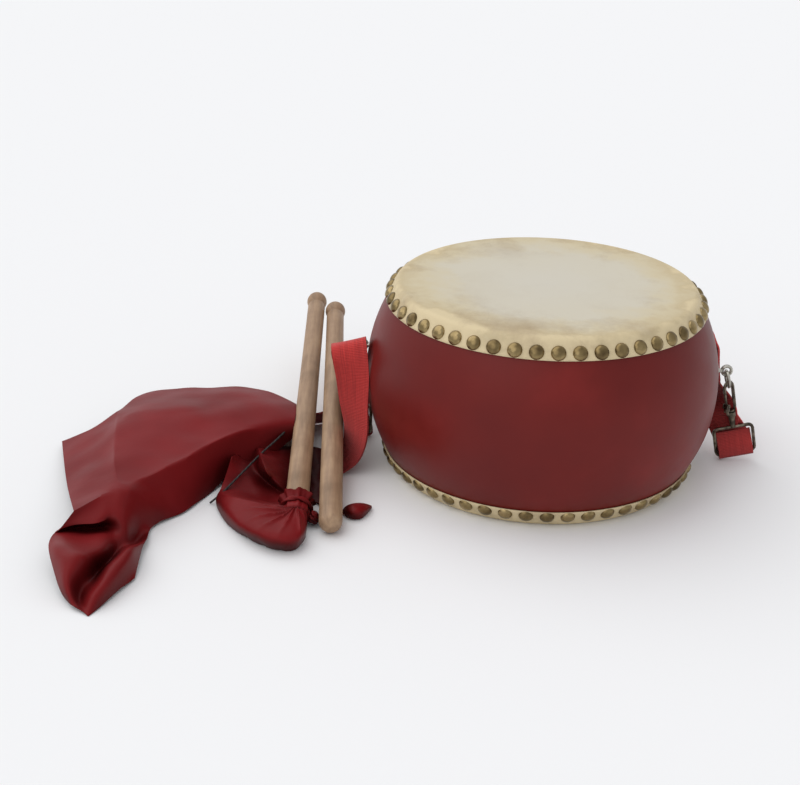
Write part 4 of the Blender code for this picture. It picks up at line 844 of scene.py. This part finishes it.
# Tied silk
# A smaller piece of the same satin, tied by its corner to the first stick's butt and spread on
# the floor in pleats that run from the knot, partly under the sticks; a narrow tail of it lies
# on the drum's side.
TIED_CAGE = [
    [(22.6, -136.7, 14), (21.3, -140.2, 10), (20.9, -144.8, 8), (20.8, -147.5, 5), (21.5, -147.1, 1)],
    [(23.8, -140.2, 17.4), (22.9, -148.5, 12.5), (20.1, -164.8, 13), (19.8, -170, 8.9), (22.2, -167.1, 1)],
    [(27.1, -141.1, 18.3), (26.8, -155.4, 14.9), (28.1, -173, 14.9), (32.8, -176.9, 9.5),
     (39.2, -167.9, 1)],
    [(30.9, -140.2, 17.4), (33.8, -153.9, 14.7), (41.5, -170.8, 16.1), (52.5, -169.1, 10.7),
     (61.1, -153.1, 0.9)],
    [(33.9, -134.1, 13.8), (40.9, -145.7, 13.5), (52.4, -152.6, 15.8), (68.8, -151.7, 12),
     (78.7, -135.6, 1.4)],
    [(35.4, -129.5, 12), (44.2, -138.3, 14.3), (59.6, -140.2, 15.8), (78.8, -132.7, 13.1),
     (90.4, -110.4, 2.5)],
    [(36.3, -123.5, 10.4), (43.7, -133.2, 13.8), (57.6, -134.3, 16.3), (74.9, -125.1, 14.5),
     (88.3, -106.6, 7.1)],
    [(38.9, -112.7, 5.6), (51, -101.2, -0.9), (64.2, -95, -1.6), (78.2, -87.5, -0.4), (87.3, -93.1, 10)],
    [(42.3, -101.8, 3.9), (56.7, -86.2, 1.1), (67.7, -87.3, 6.8), (76.6, -84.8, 14.9), (84.6, -78.3, 21.8)],
    [(46, -91.5, 2.4), (63, -66.4, -0.1), (69.1, -69.5, 6.3), (76.3, -50.2, 4.9), (83.6, -36, 4)],
    [(45.2, -92.7, 5.4), (55, -99.4, 18.1), (60, -88.1, 20.7), (65.7, -71.7, 20.3), (70.8, -54.4, 17.5)],
    [(41.6, -91, 5.7), (50.8, -80.8, 11.2), (57.6, -65.3, 10.9), (61.7, -56.3, 12.7), (67.6, -41, 11.4)],
    [(39.1, -83.5, 1), (42.7, -63.9, 1.6), (46, -42.4, 2.6), (47.6, -24.7, 3.1), (47.8, -15.4, 3.2)],
    [(24.2, -98, 2.2), (25.7, -77.5, 3.4), (27.6, -55.4, 4.8), (30.2, -36.2, 4.5), (32.1, -19.7, 4.5)],
    [(17.1, -103.6, 1.5), (19, -82.9, 1.5), (21, -61.5, 1.5), (23.7, -39.4, 1.5), (26, -19.8, 1.5)],
]
TAIL_CAGE = [
    [(19.5, -129.4, 2.2), (19.6, -125.5, 2.6), (19.6, -121, 2)],
    [(14.8, -122, 1.3), (14.8, -118.5, 1.3), (14.8, -115, 1.3)],
    [(8.3, -119, 1.3), (8, -115.5, 1.3), (7.8, -112, 1.3)],
    [(2.3, -116.5, 1.3), (1.3, -112.5, 1.5), (0.3, -108.5, 1.3)],
    [(2.3, -106.3, 3), (0.4, -114.4, 4), (-0.4, -115.1, 1)],
    [(-3.6, -109.3, 8), (-6.1, -122.3, 9.5), (-5.6, -118.5, 1)],
    [(-9.8, -105, 7), (-12.2, -118, 8.5), (-11.6, -117.6, 1)],
    [(-14.2, -101.2, 4), (-15.6, -109.4, 5), (-14.5, -108.5, 1)],
    [(-16.2, -99.2, 2), (-16.8, -101.9, 2.5), (-16.6, -102, 1.5)],
]
TIED_LIP = [(6, column) for column in range(1, 5)]
TIED_PANEL = [(10, column) for column in range(1, 5)]
TIED_LEVELS = 4
TAIL_LEVELS = 3
TIED_CORNERS = [(8, 4)]
TIED_UNEVENNESS = 0.8 * MM
TIED_UNEVEN_SIZE = 12.0 * MM
PLEATS_FROM = beside(29, -136, 0)
PLEAT_COUNT = 15
PLEAT_HEIGHT = 1.7 * MM
PLEAT_REACH = 20.0 * MM


def pleat(piece):
    """Raises sharp pleats that run out from the knot and fade towards the cloth's edge."""
    for vertex in piece.data.vertices:
        away = vertex.co - PLEATS_FROM
        reach = math.hypot(away.x, away.y)
        turn = math.atan2(away.y, away.x)
        fan = 1.0 - abs(math.sin(PLEAT_COUNT / 2 * turn + 12 * reach))
        vertex.co.z += PLEAT_HEIGHT * fan * fan * math.exp(-((reach - 0.6 * PLEAT_REACH) / PLEAT_REACH) ** 2)


tied_folds = ((TIED_LIP, 1.2), (TIED_PANEL, 1.4))
tied = cloth("tied_silk_look", TIED_CAGE, TIED_LEVELS, folds=tied_folds, corners=TIED_CORNERS)
pleat(tied)
crumple(tied, TIED_UNEVENNESS, TIED_UNEVEN_SIZE)
thicken(tied, SILK_THICKNESS)
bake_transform(tied)
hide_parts("tied_silk")
tail = cloth("silk_tail_look", TAIL_CAGE, TAIL_LEVELS)
thicken(tail, SILK_THICKNESS)
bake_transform(tail)
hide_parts("silk_tail")

# Silk knot
# The tied silk's corner is wrapped over the first stick's butt, drawn in with small pleats and a
# ruffled edge, bound with a twist of the cloth, and ends in a small hard knot between the sticks.
COLLAR_RADIUS = 9.6 * MM
COLLAR_BELOW = 4.0 * MM
COLLAR_ABOVE = 15.0 * MM
COLLAR_STEPS = 108
COLLAR_ROWS = 24
WAIST_DEPTH = 0.09
FLARE_DEPTH = 0.3
BAND_HEIGHT = 7.5 * MM
BAND_WIRE = 1.7 * MM
BAND_STEPS = 72
BAND_SIDES = 14
KNOT_RADIUS = 4.2 * MM
KNOT_OFFSET = Vector((11.8, 3.0, -1.7)) * MM
work = bmesh.new()
rows = []
for k in range(COLLAR_ROWS + 1):
    share = k / COLLAR_ROWS
    along = -COLLAR_BELOW + (COLLAR_ABOVE + COLLAR_BELOW) * share
    rounding = math.sqrt(1 - max(0.0, 1 - share / 0.22) ** 2)
    waist = WAIST_DEPTH * math.exp(-((along - BAND_HEIGHT) / (3 * MM)) ** 2)
    flare = FLARE_DEPTH * max(0.0, (share - 0.72) / 0.28) ** 2
    row = []
    for j in range(COLLAR_STEPS):
        angle = 2 * math.pi * j / COLLAR_STEPS
        ruffle = math.sin(9 * angle + 0.6) + 0.6 * math.sin(16 * angle + 2.1 + 2 * share)
        radius = COLLAR_RADIUS * rounding * (1 - waist + flare + 0.03 * ruffle * (0.6 + 2.2 * flare + share))
        lift = 0.9 * MM * math.sin(5 * angle) * share ** 3
        row.append(work.verts.new((radius * math.cos(angle), radius * math.sin(angle), along + lift)))
    rows.append(row)
for low, high in zip(rows, rows[1:]):
    for j in range(COLLAR_STEPS):
        work.faces.new((low[j], low[(j + 1) % COLLAR_STEPS], high[(j + 1) % COLLAR_STEPS], high[j]))
band = []
for i in range(BAND_STEPS):
    turn = 2 * math.pi * i / BAND_STEPS
    ring = []
    for j in range(BAND_SIDES):
        angle = 2 * math.pi * j / BAND_SIDES
        wire = BAND_WIRE * (1 + 0.2 * math.sin(3 * angle + 7 * turn))
        radius = COLLAR_RADIUS + wire * math.cos(angle)
        ring.append(work.verts.new((radius * math.cos(turn), radius * math.sin(turn),
                                    BAND_HEIGHT + 0.8 * MM * math.sin(turn) + wire * math.sin(angle))))
    band.append(ring)
for ring, after in zip(band, band[1:] + band[:1]):
    for j in range(BAND_SIDES):
        beyond = (j + 1) % BAND_SIDES
        work.faces.new((ring[j], after[j], after[beyond], ring[beyond]))
bmesh.ops.remove_doubles(work, verts=work.verts, dist=0.000001)
butt = beside(*STICKS["stick_1"][0])
stick_turn = sticks["stick_1"].rotation_quaternion.to_matrix().to_4x4()
bmesh.ops.transform(work, matrix=Matrix.Translation(butt) @ stick_turn, verts=work.verts)
ball = bmesh.ops.create_icosphere(work, subdivisions=4, radius=KNOT_RADIUS)["verts"]
for vertex in ball:
    away = vertex.co.normalized()
    coarse_lump = 0.13 * math.sin(7 * away.x + 9 * away.z + 1.0)
    fine_lump = 0.07 * math.sin(13 * away.y + 5 * away.z)
    vertex.co *= 1 + coarse_lump + fine_lump
    vertex.co += butt + KNOT_OFFSET
for vertex in work.verts:
    vertex.co.z = max(vertex.co.z, 2 * FLOOR_GAP)
knot_mesh = bpy.data.meshes.new("silk_knot_look")
work.to_mesh(knot_mesh)
work.free()
knot = shown("silk_knot_look", knot_mesh, satin)
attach(knot, "stick_1_body")
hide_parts("silk_knot")

# Black cord
# A thin twisted black cord lies loose and nearly straight over the tied silk, from near the first
# stick down to the floor.
CORD_POINTS = [
    (53.3, -23, 22), (59.5, -42.8, 20), (67.3, -62.7, 17.5), (74.9, -81.8, 13.6),
    (80.9, -96.7, 10.5), (86.9, -107.8, 6.6), (93.4, -110.6, 1.2),
]
CORD_DIAMETER = 1.4 * MM
CORD_SPANS = 6
cord_path = smooth_path([beside(*point) for point in CORD_POINTS], CORD_SPANS)
cord_paint, tree, shader = blank_material("black_cord", Roughness=0.75)
place = node(tree, "ShaderNodeTexCoord")
twist = node(tree, "ShaderNodeTexWave", {"Vector": place.outputs["Object"], "Scale": 160.0,
                                         "Distortion": 2.0})
tree.links.new(ramp(tree, twist.outputs["Fac"], [(0.0, (0.008, 0.007, 0.007)), (1.0, (0.035, 0.03, 0.03))]),
               shader.inputs["Base Color"])
link_bump(tree, shader, twist.outputs["Fac"], 0.0002, 0.7)
curve = bpy.data.curves.new("black_cord_look", "CURVE")
curve.dimensions = "3D"
spline = curve.splines.new("POLY")
spline.points.add(len(cord_path) - 1)
for point, spot in zip(spline.points, cord_path):
    point.co = (*spot, 1.0)
curve.bevel_depth = CORD_DIAMETER / 2
curve.bevel_resolution = 3
curve.use_fill_caps = True
curve.materials.append(cord_paint)
cord = bpy.data.objects.new("black_cord_look", curve)
SHOWN.objects.link(cord)
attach(cord, "drum")
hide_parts("black_cord")
